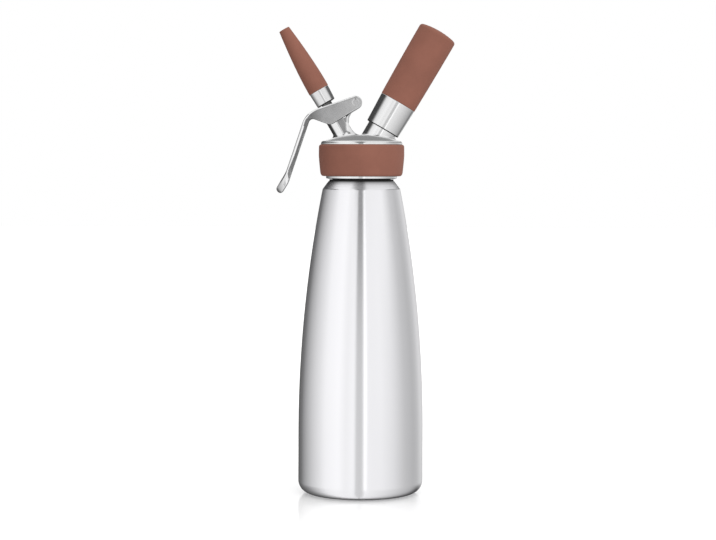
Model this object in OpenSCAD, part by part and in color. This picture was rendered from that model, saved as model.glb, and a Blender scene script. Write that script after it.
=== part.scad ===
// Nitro coffee maker: a steel pressure bottle with a screw-on dispensing head.
// The head carries a lever, a spout on a spring-loaded valve, and a screw-on gas charger holder.
// Units are millimetres. The bottle stands on z = 0 with its axis on z.
// The spout leans to -x and the charger holder to +x.

/* [Bottle] */
// Outside diameter of the straight lower wall
bottle_d = 95; // [85:1:105]
// Thickness of the drawn steel wall
bottle_wall = 1.2; // [0.8:0.1:2]
// Radius of the rounded edge at the base
base_corner_r = 9.5; // [6:0.5:12]
// Middle diameter of the stiffening bead in the base
bead_d = 50; // [40:1:56]
// Height of the stiffening bead
bead_h = 1.2; // [0.6:0.1:2]
// Height at which the wall starts to lean in
flank_start_z = 46; // [30:1:70]
// Height of the top of the leaning flank
flank_top_z = 232; // [210:1:245]
// Diameter at the top of the leaning flank
flank_top_d = 59; // [56:0.5:66]
// Height of the sloping shoulder
shoulder_h = 6; // [5.5:0.5:12]
// Radius that blends the flank into the shoulder
shoulder_r = 6; // [2:0.5:6]

/* [Neck] */
// Diameter over the crests of the neck thread
neck_d = 46.8; // [44:0.2:48]
// Depth of the neck thread
neck_thread_depth = 1.2; // [0.8:0.1:1.4]
// Wall of the neck under the thread
neck_wall = 1.8; // [1.4:0.1:2.4]
// Height of the neck above the shoulder
neck_h = 20.5; // [18:0.5:24]
// Pitch of the neck thread
neck_pitch = 4; // [3:0.5:4]

/* [Head] */
// Gap between the bottle's shoulder and the head's skirt
skirt_gap = 1.8; // [0.8:0.1:2.2]
// Wall of the skirt outside the thread
skirt_wall = 4.4; // [3.6:0.1:5]
// Height of the bare steel rim under the grip band
lower_rim_h = 2; // [1.4:0.1:3]
// Thickness of the silicone gasket on the bottle's rim
gasket_h = 2.8; // [2:0.1:3.6]
// Distance from the head's ceiling up to the flange over the grip band
flange_rise = 4.5; // [3:0.25:6]
// Thickness of the rounded flange over the grip band
flange_t = 2.8; // [1.8:0.1:3.2]
// How far the flange stands out past the skirt
flange_overhang = 2.8; // [2:0.1:3.4]
// Height of the domed top above the flange
dome_h = 4.8; // [3.6:0.2:7]
// Thickness of the grip band at its widest
band_t = 4.4; // [3.6:0.1:5.5]

/* [Tilted axes] */
// Lean of the valve and of the charger holder from upright
tilt = 30; // [27:0.5:33]
// Depth below the head's ceiling at which the two leaning axes cross
axis_drop = 11; // [10:0.25:12]

/* [Valve] */
// Diameter of the sliding valve stem
stem_d = 8; // [7.4:0.1:8.4]
// Diameter of the passage through the stem
stem_bore_d = 4.4; // [3.6:0.1:4.8]
// Diameter of the barrel that guides the stem
barrel_d = 14.8; // [14.4:0.1:15.4]
// Distance from the crossing point up to the valve seat
seat_s = 19; // [18.5:0.25:20]
// Distance from the crossing point up to the top of the barrel
barrel_top_s = 41; // [40:0.25:42]
// Depth of the spring pocket in the barrel
spring_pocket = 8; // [6:0.5:10]
// Travel of the valve when the lever is pulled home
valve_travel = 4; // [3:0.1:4.5]
// Diameter of the pressing collar
collar_d = 14; // [13:0.1:14.4]
// Height of the pressing collar
collar_h = 2.5; // [2:0.1:3]
// Wire diameter of the valve spring
spring_wire = 1; // [0.8:0.1:1.1]
// Number of turns of the valve spring
spring_turns = 6; // [4:1:7]

/* [Lever] */
// Distance of the pivot from the valve axis
pivot_p = 19.6; // [18.5:0.1:21]
// Distance of the pivot along the valve axis
pivot_s = 43.2; // [42.5:0.1:44]
// Diameter of the pivot pin
pivot_d = 4; // [3:0.1:4.4]
// Radius of the lever's rounded end round the pivot
lever_end_r = 4.9; // [4.4:0.1:5.4]
// Thickness of the lever's two cheeks
cheek_t = 2; // [1.6:0.1:2.6]
// Lean of the lever's top face from square to the valve axis
web_slope = 11; // [9:0.2:12]
// Thickness of the lever's top web
web_t = 2.4; // [2:0.1:2.6]
// Length of the top face from the pivot to the bend
web_len = 38.1; // [37:0.1:41]
// Radius of the bend outside the arm
bend_r = 18; // [14:0.5:20]
// Angle through which the bend turns the arm down
bend_angle = 52.5; // [48:0.5:56]
// Length of the arm from the bend to the flared end
arm_len = 47.7; // [42:0.1:52]
// Thickness of the arm
arm_t = 4.2; // [4:0.1:5.4]
// Width of the arm
arm_w = 15; // [12:0.5:18]
// Angle by which the end of the arm flares out
flare_angle = 12.5; // [8:0.5:16]
// Length of the flared end
flare_len = 16; // [13:0.5:20]
// Thickness of the flared end
flare_t = 5.6; // [5:0.1:7]

/* [Spout] */
// Gap along the valve axis between the lever's web and the spout
spout_gap = 1.7; // [1.4:0.1:2.4]
// Diameter of the steel ferrule at its foot
ferrule_foot_d = 14.6; // [14:0.1:15.4]
// Length of the steel ferrule that shows
ferrule_len = 11.4; // [10:0.2:13]
// Length of the brown spout above the ferrule
spout_len = 53; // [44:1:64]
// Diameter of the spout at its widest
spout_d = 16.2; // [15.8:0.1:17]
// Diameter of the spout at its outlet
spout_end_d = 8.4; // [8:0.1:10]
// Diameter of the outlet bore
spout_bore_d = 6; // [5:0.1:6.4]
// Diameter of the thread at the top of the stem
spout_thread_d = 7; // [6.6:0.1:7.2]
// Length of the thread at the top of the stem
spout_thread_len = 8; // [6:0.5:9]

/* [Charger holder] */
// Diameter of the boss that the holder screws onto
boss_d = 23.2; // [22.4:0.1:24]
// Distance from the crossing point up to the top of the boss
boss_top_s = 50; // [48.5:0.25:51]
// Pitch of the boss thread
boss_pitch = 2; // [1.5:0.25:2]
// Distance from the crossing point up to the holder's foot
holder_foot_s = 31.5; // [31:0.25:33]
// Diameter of the holder at its foot
holder_foot_d = 26.8; // [26.6:0.1:28]
// Length of the holder's bare steel mouth
holder_mouth_len = 23.3; // [22:0.25:26]
// Diameter of the holder where the brown sleeve starts
holder_mid_d = 28.8; // [28.6:0.1:30]
// Diameter of the brown sleeve near its closed end
holder_end_d = 30.2; // [29.8:0.1:32]
// Thickness of the sleeve over the holder's closed end
sleeve_end_t = 3.8; // [3:0.2:6]
// Wall of the holder's steel cup
cup_wall = 2.5; // [1.8:0.1:2.9]

/* [Gas charger] */
// Diameter of the gas cartridge
charger_d = 17.8; // [17.4:0.1:18.4]
// Length of the gas cartridge
charger_len = 65.5; // [62:0.5:68]
// Diameter of the cartridge's neck
charger_neck_d = 8.5; // [8:0.1:9]
// Length of the cartridge's straight neck
charger_neck_len = 8; // [7:0.5:10]
// How deep the cartridge's neck sits in the boss
charger_seat = 5; // [4:0.25:6]
// Thickness of the charger seal
charger_seal_h = 2; // [1.5:0.1:2.5]
// Diameter of the piercing pin
piercer_d = 2.4; // [2:0.1:2.6]

/* [Clearances] */
// Clearance between parts that move past each other
run_gap = 0.3; // [0.2:0.05:0.4]
// Clearance of a shaft in its bearing
shaft_gap = 0.08; // [0.04:0.01:0.1]
// Clearance between parts that stay together
snug = 0.05; // [0.02:0.01:0.1]

/* [Hidden] */

$fn = 64;
steel = "silver";
brown = "sienna";
rubber = "dimgray";
// Steps in which a rounded corner of an outline is drawn
corner_steps = 8;
// Steps in which a long curve of an outline is drawn
curve_steps = 20;
// Reach of a cut past the face that it opens
cut = 1;

// Heights of the bottle and the head, stacked from the base
neck_z = flank_top_z + shoulder_h;
rim_z = neck_z + neck_h;
ceiling_z = rim_z + gasket_h + snug;
skirt_z = neck_z + skirt_gap;
flange_z = ceiling_z + flange_rise;
dome_z = flange_z + flange_t;
axis_z = ceiling_z - axis_drop;

// Radii of the bottle and the head
bottle_r = bottle_d / 2;
flank_top_r = flank_top_d / 2;
neck_crest_r = neck_d / 2;
neck_root_r = neck_crest_r - neck_thread_depth;
neck_bore_r = neck_root_r - neck_wall;
shoulder_top_r = neck_crest_r + 1.6;
neck_foot_r = shoulder_top_r - 0.6;
neck_foot_h = skirt_gap - 0.4;
skirt_bore_r = neck_crest_r + run_gap;
skirt_r = skirt_bore_r + skirt_wall;
flange_r = skirt_r + flange_overhang;
flange_edge_r = flange_t - 0.4;
dome_foot_r = flange_r - flange_edge_r - 0.1;
dome_r = (dome_foot_r * dome_foot_r + dome_h * dome_h) / (2 * dome_h);

// Radius of the arc that the bottle's flank follows, tangent to the straight wall
flank_lean = bottle_r - flank_top_r;
flank_h = flank_top_z - flank_start_z;
flank_r = (flank_h * flank_h + flank_lean * flank_lean) / (2 * flank_lean);

// Places along the valve axis, counted from the crossing point
stem_r = stem_d / 2;
barrel_r = barrel_d / 2;
disc_h = 2.2;
disc_r = 6.4;
valve_pocket_r = disc_r + 1.1;
retainer_h = 4;
retainer_r = 6;
stem_foot_r = 2.6;
disc_top_s = seat_s - run_gap / 2;
disc_foot_s = disc_top_s - disc_h;
stem_foot_s = disc_foot_s - retainer_h;
port_r = 1.2;
port_s = seat_s + run_gap + port_r;
spring_floor_s = barrel_top_s - spring_pocket;
spring_pocket_r = barrel_r - 1.5;
spring_mid_r = (spring_pocket_r + stem_r) / 2;
collar_foot_s = barrel_top_s + valve_travel + run_gap;
collar_top_s = collar_foot_s + collar_h;
seal_groove_s = (seat_s + spring_floor_s) / 2 + 2;
seal_wire_r = 0.42;

// The lever, in the plane of the valve axis: p across it, s along it
pivot_r = pivot_d / 2;
pivot = [pivot_p, pivot_s];
fork_gap = barrel_d + 4 * run_gap;
lever_w = fork_gap + 2 * cheek_t;
nose_r = 1.6;
nose_s = collar_top_s + run_gap + nose_r;
eye_r = stem_r + 2 * run_gap;
eye_slide = 2.2;
web_angle = 180 - web_slope;
arm_angle = web_angle + bend_angle;
flare_dir = arm_angle - flare_angle;
web_end = pivot + lever_end_r * heading(web_angle - 90);
bend_corner = web_end + web_len * heading(web_angle);
flare_corner = bend_corner + arm_len * heading(arm_angle);
flare_end = flare_corner + flare_len * heading(flare_dir);
cheek_foot_s = pivot_s - lever_end_r - 0.7;
cheek_foot_p = -5.2;
fork_open_p = pivot_p - lever_end_r - 2;
lug_r = lever_end_r - 0.6;
lug_w = fork_gap - 2 * run_gap;
bracket_w = barrel_d - 0.6;
bracket_foot_s = barrel_top_s - 14;
pocket_p = 10.2;
cheek_lean = 130;
flare_w = arm_w + 2;
pin_head_h = 1;
clip_depth = 0.5;
clip_t = 0.8;

// Places along the spout
web_top_s = web_end[1] + web_end[0] * tan(web_slope);
ferrule_s = web_top_s + spout_gap;
spout_s = ferrule_s + ferrule_len;
spout_end_s = spout_s + spout_len;
spout_thread_r = spout_thread_d / 2;
spout_socket_r = stem_r + run_gap;
stem_step_s = ferrule_s + 2.4;
tip_seal_h = 1.4;
spout_thread_s = stem_step_s + tip_seal_h;
stem_top_s = spout_thread_s + spout_thread_len;
spigot_r = spout_bore_d / 2 + 1.4;
spigot_len = 12;
socket_top_s = stem_top_s + 1;
spout_pitch = 1.5;

// Places along the charger axis
boss_r = boss_d / 2;
boss_bore_r = boss_r + run_gap;
boss_thread_depth = 0.7;
charger_r = charger_d / 2;
charger_neck_r = charger_neck_d / 2;
charger_foot_s = boss_top_s - charger_seat;
charger_end_s = charger_foot_s + charger_len;
charger_seat_r = charger_neck_r + 0.7;
seal_foot_s = charger_foot_s - charger_seal_h;
carrier_r = charger_neck_r - 0.4;
carrier_h = 13;
carrier_foot_s = seal_foot_s - carrier_h;
piercer_r = piercer_d / 2;
pierce_depth = 2.4;
gas_way_r = 3.2;
check_valve_h = 5;
cup_bore_r = charger_r + 2 * run_gap;
cup_r = cup_bore_r + cup_wall;
cup_floor_s = charger_end_s + run_gap;
cup_end_s = cup_floor_s + cup_wall;
sleeve_s = holder_foot_s + holder_mouth_len;
sleeve_end_s = cup_end_s + sleeve_end_t;
sleeve_corner_r = 2.4;
sleeve_crown = 2;

// Plane geometry
function heading(angle) = [cos(angle), sin(angle)];
function unit(v) = v / norm(v);
function flat(v) = [v[0], v[1]];
function mix(a, b, t) = a + (b - a) * t;

// Where the line through a in one direction meets the line through b in another
function meet(a, a_angle, b, b_angle) =
  let (
    u = heading(a_angle),
    w = heading(b_angle),
    gap = b - a
  )
  a + u * (gap[0] * w[1] - gap[1] * w[0]) / (u[0] * w[1] - u[1] * w[0]);

// Points of an arc that rounds the corner b between a and c
function corner(a, b, c, r) =
  let (
    u = unit(a - b),
    w = unit(c - b),
    half = acos(u * w) / 2,
    centre = b + unit(u + w) * r / sin(half),
    from = b + u * r / tan(half) - centre,
    to = b + w * r / tan(half) - centre,
    turn = atan2(from[0] * to[1] - from[1] * to[0], from * to),
    start = atan2(from[1], from[0])
  )
  [for (k = [0:corner_steps]) centre + r * heading(start + turn * k / corner_steps)];

// A closed outline from points [x, y, corner radius]
function rounded(v) =
  let (n = len(v))
  [for (i = [0:n - 1])
    each v[i][2] > 0
      ? corner(flat(v[(i + n - 1) % n]), flat(v[i]), flat(v[(i + 1) % n]), v[i][2])
      : [flat(v[i])]];

// Points of a quadratic curve from a to c that is drawn towards b
function curve(a, b, c) =
  [for (k = [0:curve_steps])
    let (t = k / curve_steps) mix(mix(a, b, t), mix(b, c, t), t)];

// Zigzag of thread crests up a cylinder, from height z up through a length
function thread(root_r, crest_r, z, length, pitch) =
  let (count = floor(length / pitch))
  [for (i = [0:count - 1])
    each [
      [root_r, z + i * pitch],
      [crest_r, z + (i + 0.3) * pitch],
      [crest_r, z + (i + 0.5) * pitch],
      [root_r, z + (i + 0.8) * pitch]
    ]];

module on_valve_axis() {
  translate([0, 0, axis_z]) rotate([0, -tilt, 0]) children();
}

module on_charger_axis() {
  translate([0, 0, axis_z]) rotate([0, tilt, 0]) children();
}

// A cylinder along the current z from one place to another
module rod(r, from, to) {
  translate([0, 0, from]) cylinder(r = r, h = to - from);
}

// A plain ring along the current z
module ring(r_in, r_out, from, to) {
  rotate_extrude() translate([r_in, from]) square([r_out - r_in, to - from]);
}

// A cylinder across the valve axis, along y
module cross_rod(r, from, to) {
  rotate([-90, 0, 0]) rod(r, from, to);
}

// A plate in the plane of the valve axis, of the given width about that plane
module plate(outline, width) {
  rotate([90, 0, 0])
    linear_extrude(height = width, center = true) polygon(outline);
}

// Half section of the bottle's wall, from the axis along the base and up to the neck
function bottle_outline(inset) =
  let (
    bead_slope = bead_h,
    bead_in = bead_d / 2 - 3,
    bead_out = bead_d / 2 + 3,
    flank = [for (k = [1:curve_steps - 1])
      let (h = flank_h * k / curve_steps)
      [bottle_r - flank_r + sqrt(flank_r * flank_r - h * h) - inset, flank_start_z + h, 0]]
  )
  concat(
    [
      [0, inset, 0],
      [bead_in, inset, 0],
      [bead_in + bead_slope, inset + bead_h, 0],
      [bead_out - bead_slope, inset + bead_h, 0],
      [bead_out, inset, 0],
      [bottle_r - inset, inset, base_corner_r - inset],
      [bottle_r - inset, flank_start_z, 0]
    ],
    flank,
    [
      [flank_top_r - inset, flank_top_z, shoulder_r],
      [shoulder_top_r - inset, neck_z - inset / 2, 0]
    ]
  );

module bottle() {
  outer = rounded(bottle_outline(0));
  inner = rounded(bottle_outline(bottle_wall));
  neck = thread(neck_root_r, neck_crest_r, neck_z + 3, neck_h - 5, neck_pitch);
  color(steel) rotate_extrude()
    polygon(concat(
      outer,
      [[neck_foot_r, neck_z], [neck_foot_r, neck_z + neck_foot_h], [neck_root_r, neck_z + neck_foot_h]],
      neck,
      [[neck_root_r, rim_z], [neck_bore_r, rim_z], [neck_bore_r, neck_z - bottle_wall]],
      [for (i = [len(inner) - 1:-1:0]) inner[i]]
    ));
}

module head_gasket() {
  color(rubber)
    ring(neck_bore_r, skirt_bore_r - run_gap, rim_z + snug / 2, ceiling_z - snug / 2);
}

// Solid of the head's skirt, flange and dome, before it is bored
module head_blank() {
  foot_r = skirt_bore_r + 1.7;
  rotate_extrude() {
    polygon(rounded([
      [0, skirt_z, 0],
      [foot_r, skirt_z, 0.5],
      [skirt_r, skirt_z + lower_rim_h, 0],
      [skirt_r, flange_z, 0],
      [flange_r, flange_z, 0.3],
      [flange_r, dome_z, flange_edge_r],
      [0, dome_z, 0]
    ]));
    intersection() {
      translate([0, dome_z + dome_h - dome_r]) circle(r = dome_r, $fn = 256);
      translate([0, dome_z - cut]) square([dome_foot_r, dome_h + 2 * cut]);
    }
  }
}

// Arm of the head that carries the lever's pivot beside the barrel
module pivot_bracket() {
  plate(rounded([
    [0, bracket_foot_s, 0],
    [1.2, bracket_foot_s, 0],
    [barrel_r - 0.6, barrel_top_s - 4.5, 2],
    [pivot_p - 7.5, pivot_s - lug_r - 0.5, 4],
    [pivot_p, pivot_s - lug_r, 0],
    [pivot_p - 1, pivot_s + lug_r - 0.2, 0],
    [barrel_r + 1, barrel_top_s - 1.5, 0],
    [0, barrel_top_s - 1.5, 0]
  ]), bracket_w);
  translate([pivot_p, 0, pivot_s]) cross_rod(lug_r, -lug_w / 2, lug_w / 2);
}

module head_casting() {
  color(steel) difference() {
    union() {
      head_blank();
      on_valve_axis() {
        rod(barrel_r, axis_drop, barrel_top_s);
        pivot_bracket();
      }
      on_charger_axis() {
        rod(boss_r - boss_thread_depth, axis_drop, boss_top_s);
        rod(boss_r, axis_drop, holder_foot_s + 1.5);
        rotate_extrude() polygon(concat(
          [[charger_seat_r + 1, holder_foot_s]],
          [[boss_r - boss_thread_depth, holder_foot_s]],
          thread(boss_r - boss_thread_depth, boss_r, holder_foot_s + 2.5,
            boss_top_s - holder_foot_s - 3.5, boss_pitch),
          [[boss_r - boss_thread_depth, boss_top_s - 0.5], [charger_seat_r + 1, boss_top_s - 0.5]]
        ));
      }
    }
    rod(skirt_bore_r, skirt_z - cut, ceiling_z);
    on_valve_axis() {
      rod(valve_pocket_r, 0, seat_s);
      rod(stem_r + shaft_gap, seat_s - cut, barrel_top_s);
      rod(spring_pocket_r, spring_floor_s, barrel_top_s + cut);
      translate([pivot_p, 0, pivot_s]) cross_rod(pivot_r + shaft_gap, -lug_w, lug_w);
    }
    on_charger_axis() {
      rod(gas_way_r, 0, carrier_foot_s + cut);
      rod(carrier_r + snug, carrier_foot_s, seal_foot_s + cut);
      rod(charger_seat_r, seal_foot_s, boss_top_s + cut);
    }
  }
}

module grip_band() {
  band_r = skirt_r + band_t;
  foot_z = skirt_z + lower_rim_h + snug;
  top_z = flange_z - snug;
  belly_z = mix(foot_z, top_z, 0.66);
  color(brown) rotate_extrude()
    polygon(concat(
      [[skirt_r + snug, foot_z]],
      curve([skirt_r + 0.8, foot_z], [skirt_r + 0.62 * band_t, foot_z + 0.2],
        [skirt_r + 0.72 * band_t, foot_z + 3]),
      curve([skirt_r + 0.74 * band_t, foot_z + 3.4], [skirt_r + 0.94 * band_t, belly_z - 5],
        [band_r, belly_z]),
      corner([band_r, belly_z], [skirt_r + 0.97 * band_t, top_z], [skirt_r, top_z], 1.8),
      [[skirt_r + snug, top_z]]
    ));
}

// Side view of the lever, from the pivot along the top and round the arm
function lever_outline() =
  let (
    arm_in = heading(arm_angle + 90),
    flare_in = heading(flare_dir + 90),
    inner_flare = meet(flare_corner + arm_t * arm_in, arm_angle,
      flare_corner + flare_t * flare_in, flare_dir),
    inner_end = flare_end + flare_t * flare_in,
    cheek_foot = [cheek_foot_p, cheek_foot_s],
    inner_bend = meet(bend_corner + arm_t * arm_in, arm_angle, cheek_foot, cheek_lean)
  )
  rounded([
    [web_end[0], web_end[1], 0],
    [bend_corner[0], bend_corner[1], bend_r],
    [flare_corner[0], flare_corner[1], 30],
    [flare_end[0], flare_end[1], 2.8],
    [inner_end[0], inner_end[1], 2.2],
    [inner_flare[0], inner_flare[1], 18],
    [inner_bend[0], inner_bend[1], 3],
    [cheek_foot[0], cheek_foot[1], 5],
    [pivot_p, pivot_s - lever_end_r, 0]
  ]);

// Top view of the lever, which narrows from the fork to the arm and ends in a rounded paddle
module lever_plan() {
  fork_p = -pocket_p - 4;
  end_p = flare_end[0] - 1;
  half = [
    [pivot_p + lever_end_r + cut, lever_w / 2, 0],
    [fork_p, lever_w / 2, 8],
    [fork_p - 10, arm_w / 2, 12],
    [flare_corner[0], arm_w / 2, 20],
    [end_p, flare_w / 2, 6]
  ];
  other = [for (i = [len(half) - 1:-1:0]) [half[i][0], -half[i][1], half[i][2]]];
  linear_extrude(height = 2 * spout_s, center = true) polygon(rounded(concat(half, other)));
}

// Hollow between the cheeks, under the web and right through the fork's open end
function lever_pocket() =
  let (
    under = web_top_s - web_t / cos(web_slope),
    fall = tan(web_slope),
    far = pivot_p + 3 * lever_end_r
  )
  [
    [-pocket_p, 0],
    [-pocket_p, under + pocket_p * fall],
    [fork_open_p, under - fork_open_p * fall],
    [fork_open_p, spout_s],
    [far, spout_s],
    [far, 0]
  ];

module lever() {
  color(steel) on_valve_axis() difference() {
    union() {
      difference() {
        intersection() {
          union() {
            plate(lever_outline(), lever_w);
            translate([pivot_p, 0, pivot_s]) cross_rod(lever_end_r, -lever_w / 2, lever_w / 2);
          }
          lever_plan();
        }
        plate(lever_pocket(), fork_gap);
      }
      translate([0, 0, nose_s])
        cross_rod(nose_r, -fork_gap / 2 - cheek_t / 2, fork_gap / 2 + cheek_t / 2);
    }
    for (p = [0, eye_slide]) translate([p, 0, 0]) rod(eye_r, seat_s, spout_s);
    translate([0, -eye_r, seat_s]) cube([eye_slide, 2 * eye_r, spout_s - seat_s]);
    translate([pivot_p, 0, pivot_s]) cross_rod(pivot_r + shaft_gap, -lever_w, lever_w);
  }
}

module lever_pin() {
  head_y = lever_w / 2 + run_gap;
  color(steel) on_valve_axis() translate([pivot_p, 0, pivot_s]) rotate([-90, 0, 0])
    rotate_extrude() polygon([
      [0, -head_y - pin_head_h],
      [pivot_r, -head_y - pin_head_h],
      [pivot_r + 0.9, -head_y - pin_head_h / 2],
      [pivot_r + 0.9, -head_y],
      [pivot_r, -head_y],
      [pivot_r, head_y],
      [pivot_r - clip_depth, head_y],
      [pivot_r - clip_depth, head_y + clip_t + 2 * snug],
      [pivot_r, head_y + clip_t + 2 * snug],
      [pivot_r, head_y + 2 * clip_t],
      [pivot_r - 0.5, head_y + 2 * clip_t + 0.5],
      [0, head_y + 2 * clip_t + 0.5]
    ]);
}

module pin_clip() {
  clip_r = pivot_r - clip_depth + snug;
  color(steel) on_valve_axis() translate([pivot_p, lever_w / 2 + run_gap + snug, pivot_s])
    difference() {
      cross_rod(pivot_r + 1.6, 0, clip_t);
      cross_rod(clip_r, -cut, clip_t + cut);
      translate([0, -cut, -clip_r * 0.8]) cube([2 * pivot_d, clip_t + 2 * cut, 1.6 * clip_r]);
    }
}

module valve_stem() {
  root_r = spout_thread_r - 0.5;
  bore_r = stem_bore_d / 2;
  groove_r = stem_r - 2 * seal_wire_r;
  groove = [seal_groove_s - seal_wire_r - snug, seal_groove_s + seal_wire_r + snug];
  color(steel) on_valve_axis() difference() {
    rotate_extrude() polygon(concat(
      [
        [0, stem_foot_s],
        [stem_foot_r, stem_foot_s],
        [stem_foot_r, disc_top_s],
        [stem_r, disc_top_s],
        [stem_r, groove[0]],
        [groove_r, groove[0]],
        [groove_r, groove[1]],
        [stem_r, groove[1]],
        [stem_r, stem_step_s],
        [root_r, stem_step_s]
      ],
      thread(root_r, spout_thread_r, spout_thread_s, spout_thread_len, spout_pitch),
      [[root_r, stem_top_s], [bore_r, stem_top_s], [bore_r, port_s - port_r], [0, port_s - port_r]]
    ));
    translate([0, 0, port_s]) cross_rod(port_r, -stem_d, stem_d);
  }
}

module press_collar() {
  color(steel) on_valve_axis() rotate_extrude() polygon(rounded([
    [stem_r + snug, collar_foot_s, 0],
    [collar_d / 2, collar_foot_s, 0.4],
    [collar_d / 2, collar_top_s, 0.4],
    [stem_r + snug, collar_top_s, 0]
  ]));
}

// Middle line of the valve spring, round the axis from its floor to the collar
function spring_line() =
  let (
    foot = spring_floor_s + spring_wire / 2 + snug,
    top = collar_foot_s - spring_wire / 2 - snug,
    rings = 8 * spring_turns
  )
  [for (i = [0:rings])
    [each spring_mid_r * heading(45 * i), mix(foot, top, i / rings)]];

// Least gap between one curl of the spring and the next
spring_gap = min([for (i = [8:8 * spring_turns])
  norm(spring_line()[i] - spring_line()[i - 8]) - spring_wire]);
echo(spring_gap = spring_gap);

module valve_spring() {
  sides = 6;
  line = spring_line();
  last = len(line) - 1;
  r = spring_wire / 2;
  points = [for (i = [0:last], k = [0:sides - 1])
    line[i] + r * [
      cos(45 * i) * cos(60 * k),
      sin(45 * i) * cos(60 * k),
      sin(60 * k)
    ]];
  skin = [for (i = [0:last - 1], k = [0:sides - 1])
    let (a = i * sides + k, b = i * sides + (k + 1) % sides)
    each [[a, a + sides, b], [b, a + sides, b + sides]]];
  ends = [for (k = [1:sides - 2])
    each [[0, k, k + 1], [last * sides, last * sides + k + 1, last * sides + k]]];
  color(steel) on_valve_axis() polyhedron(points = points, faces = concat(skin, ends));
}

module stem_seal() {
  color(rubber) on_valve_axis() translate([0, 0, seal_groove_s])
    rotate_extrude() translate([stem_r - seal_wire_r + snug / 2, 0]) circle(r = seal_wire_r);
}

module valve_disc() {
  color(rubber) on_valve_axis()
    ring(stem_foot_r + snug, disc_r, disc_foot_s, disc_top_s - snug);
}

module valve_retainer() {
  color(steel) on_valve_axis() difference() {
    translate([0, 0, stem_foot_s]) cylinder(r = retainer_r, h = retainer_h - snug, $fn = 6);
    rod(stem_foot_r + snug, stem_foot_s - cut, disc_foot_s);
  }
}

module tip_seal() {
  color(rubber) on_valve_axis()
    ring(spout_thread_r + run_gap / 2, stem_r, stem_step_s + snug, spout_thread_s - snug);
}

module tip_ferrule() {
  thread_r = spout_thread_r + run_gap;
  bore_r = spout_bore_d / 2 - 0.6;
  top_r = spout_d / 2 - 0.3;
  color(steel) on_valve_axis() rotate_extrude() polygon(rounded([
    [spout_socket_r, ferrule_s, 0],
    [ferrule_foot_d / 2, ferrule_s, 0.5],
    [top_r, spout_s, 0],
    [spigot_r, spout_s, 0],
    [spigot_r, spout_s + spigot_len, 0],
    [bore_r, spout_s + spigot_len, 0],
    [bore_r, socket_top_s, 0],
    [thread_r, socket_top_s, 0],
    [thread_r, spout_thread_s, 0],
    [spout_socket_r, spout_thread_s, 0]
  ]));
}

module tip_sleeve() {
  bore_r = spout_bore_d / 2;
  foot = spout_s + snug;
  end_r = spout_end_d / 2;
  color(brown) on_valve_axis() rotate_extrude() polygon(concat(
    [[spigot_r + snug, foot]],
    curve([spout_d / 2, foot], [spout_d / 2, mix(foot, spout_end_s, 0.42)], [end_r, spout_end_s]),
    [
      [bore_r, spout_end_s],
      [bore_r, spout_s + spigot_len + snug],
      [spigot_r + snug, spout_s + spigot_len + snug]
    ]
  ));
}

module gas_charger() {
  hole_r = piercer_r + run_gap;
  hole_s = charger_foot_s + pierce_depth + run_gap;
  color(steel) on_charger_axis() rotate_extrude() polygon(rounded([
    [hole_r, charger_foot_s + snug, 0],
    [charger_neck_r, charger_foot_s + snug, 0.6],
    [charger_neck_r, charger_foot_s + charger_neck_len, 3],
    [charger_r, charger_foot_s + charger_neck_len + 8, 6],
    [charger_r, charger_end_s, charger_r - 0.5],
    [0, charger_end_s, 0],
    [0, hole_s, 0],
    [hole_r, hole_s, 0]
  ]));
}

module holder_shell() {
  color(steel) on_charger_axis() rotate_extrude() polygon(rounded([
    [boss_bore_r, holder_foot_s, 0],
    [holder_foot_d / 2, holder_foot_s, 0.5],
    [holder_mid_d / 2 - 0.2, sleeve_s, 0],
    [cup_r, sleeve_s, 0],
    [cup_r, cup_end_s, 2],
    [0, cup_end_s, 0],
    [0, cup_floor_s, 0],
    [cup_bore_r, cup_floor_s, 0],
    [cup_bore_r, boss_top_s + run_gap, 0],
    [boss_bore_r, boss_top_s + run_gap, 0]
  ]));
}

module holder_sleeve() {
  foot = sleeve_s + snug;
  end_r = holder_end_d / 2;
  towards = [end_r / 2, sleeve_end_s];
  edge = corner([end_r, foot], [end_r, sleeve_end_s - sleeve_crown], towards, sleeve_corner_r);
  crown = curve(edge[corner_steps], towards, [0, sleeve_end_s]);
  color(brown) on_charger_axis() rotate_extrude() polygon(concat(
    [[cup_r + snug, foot]],
    curve([holder_mid_d / 2, foot], [end_r, mix(foot, sleeve_end_s, 0.55)],
      [end_r, sleeve_end_s - sleeve_crown - sleeve_corner_r]),
    edge,
    [for (i = [1:curve_steps]) crown[i]],
    [[0, cup_end_s + snug], [cup_r + snug, cup_end_s + snug]]
  ));
}

module pin_carrier() {
  color("goldenrod") on_charger_axis()
    ring(piercer_r + snug, carrier_r, carrier_foot_s + snug, seal_foot_s);
}

module piercing_pin() {
  way_r = piercer_r / 2;
  foot = carrier_foot_s - check_valve_h + 1;
  tip = charger_foot_s + pierce_depth;
  color(steel) on_charger_axis() rotate_extrude() polygon([
    [way_r, foot],
    [piercer_r, foot],
    [piercer_r, tip - 2],
    [way_r + 0.1, tip],
    [way_r, tip]
  ]);
}

module charger_seal() {
  color(rubber) on_charger_axis()
    ring(piercer_r + snug, charger_seat_r - snug, seal_foot_s + snug, charger_foot_s - snug);
}

module check_valve() {
  foot = carrier_foot_s - check_valve_h;
  color(rubber) on_charger_axis() difference() {
    rod(gas_way_r - snug, foot, carrier_foot_s);
    rod(piercer_r + snug, foot + 1 - snug, carrier_foot_s + cut);
  }
}

bottle();
head_gasket();
head_casting();
grip_band();
lever();
lever_pin();
pin_clip();
valve_stem();
press_collar();
valve_spring();
stem_seal();
valve_disc();
valve_retainer();
tip_seal();
tip_ferrule();
tip_sleeve();
gas_charger();
holder_shell();
holder_sleeve();
pin_carrier();
piercing_pin();
charger_seal();
check_valve();
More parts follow.
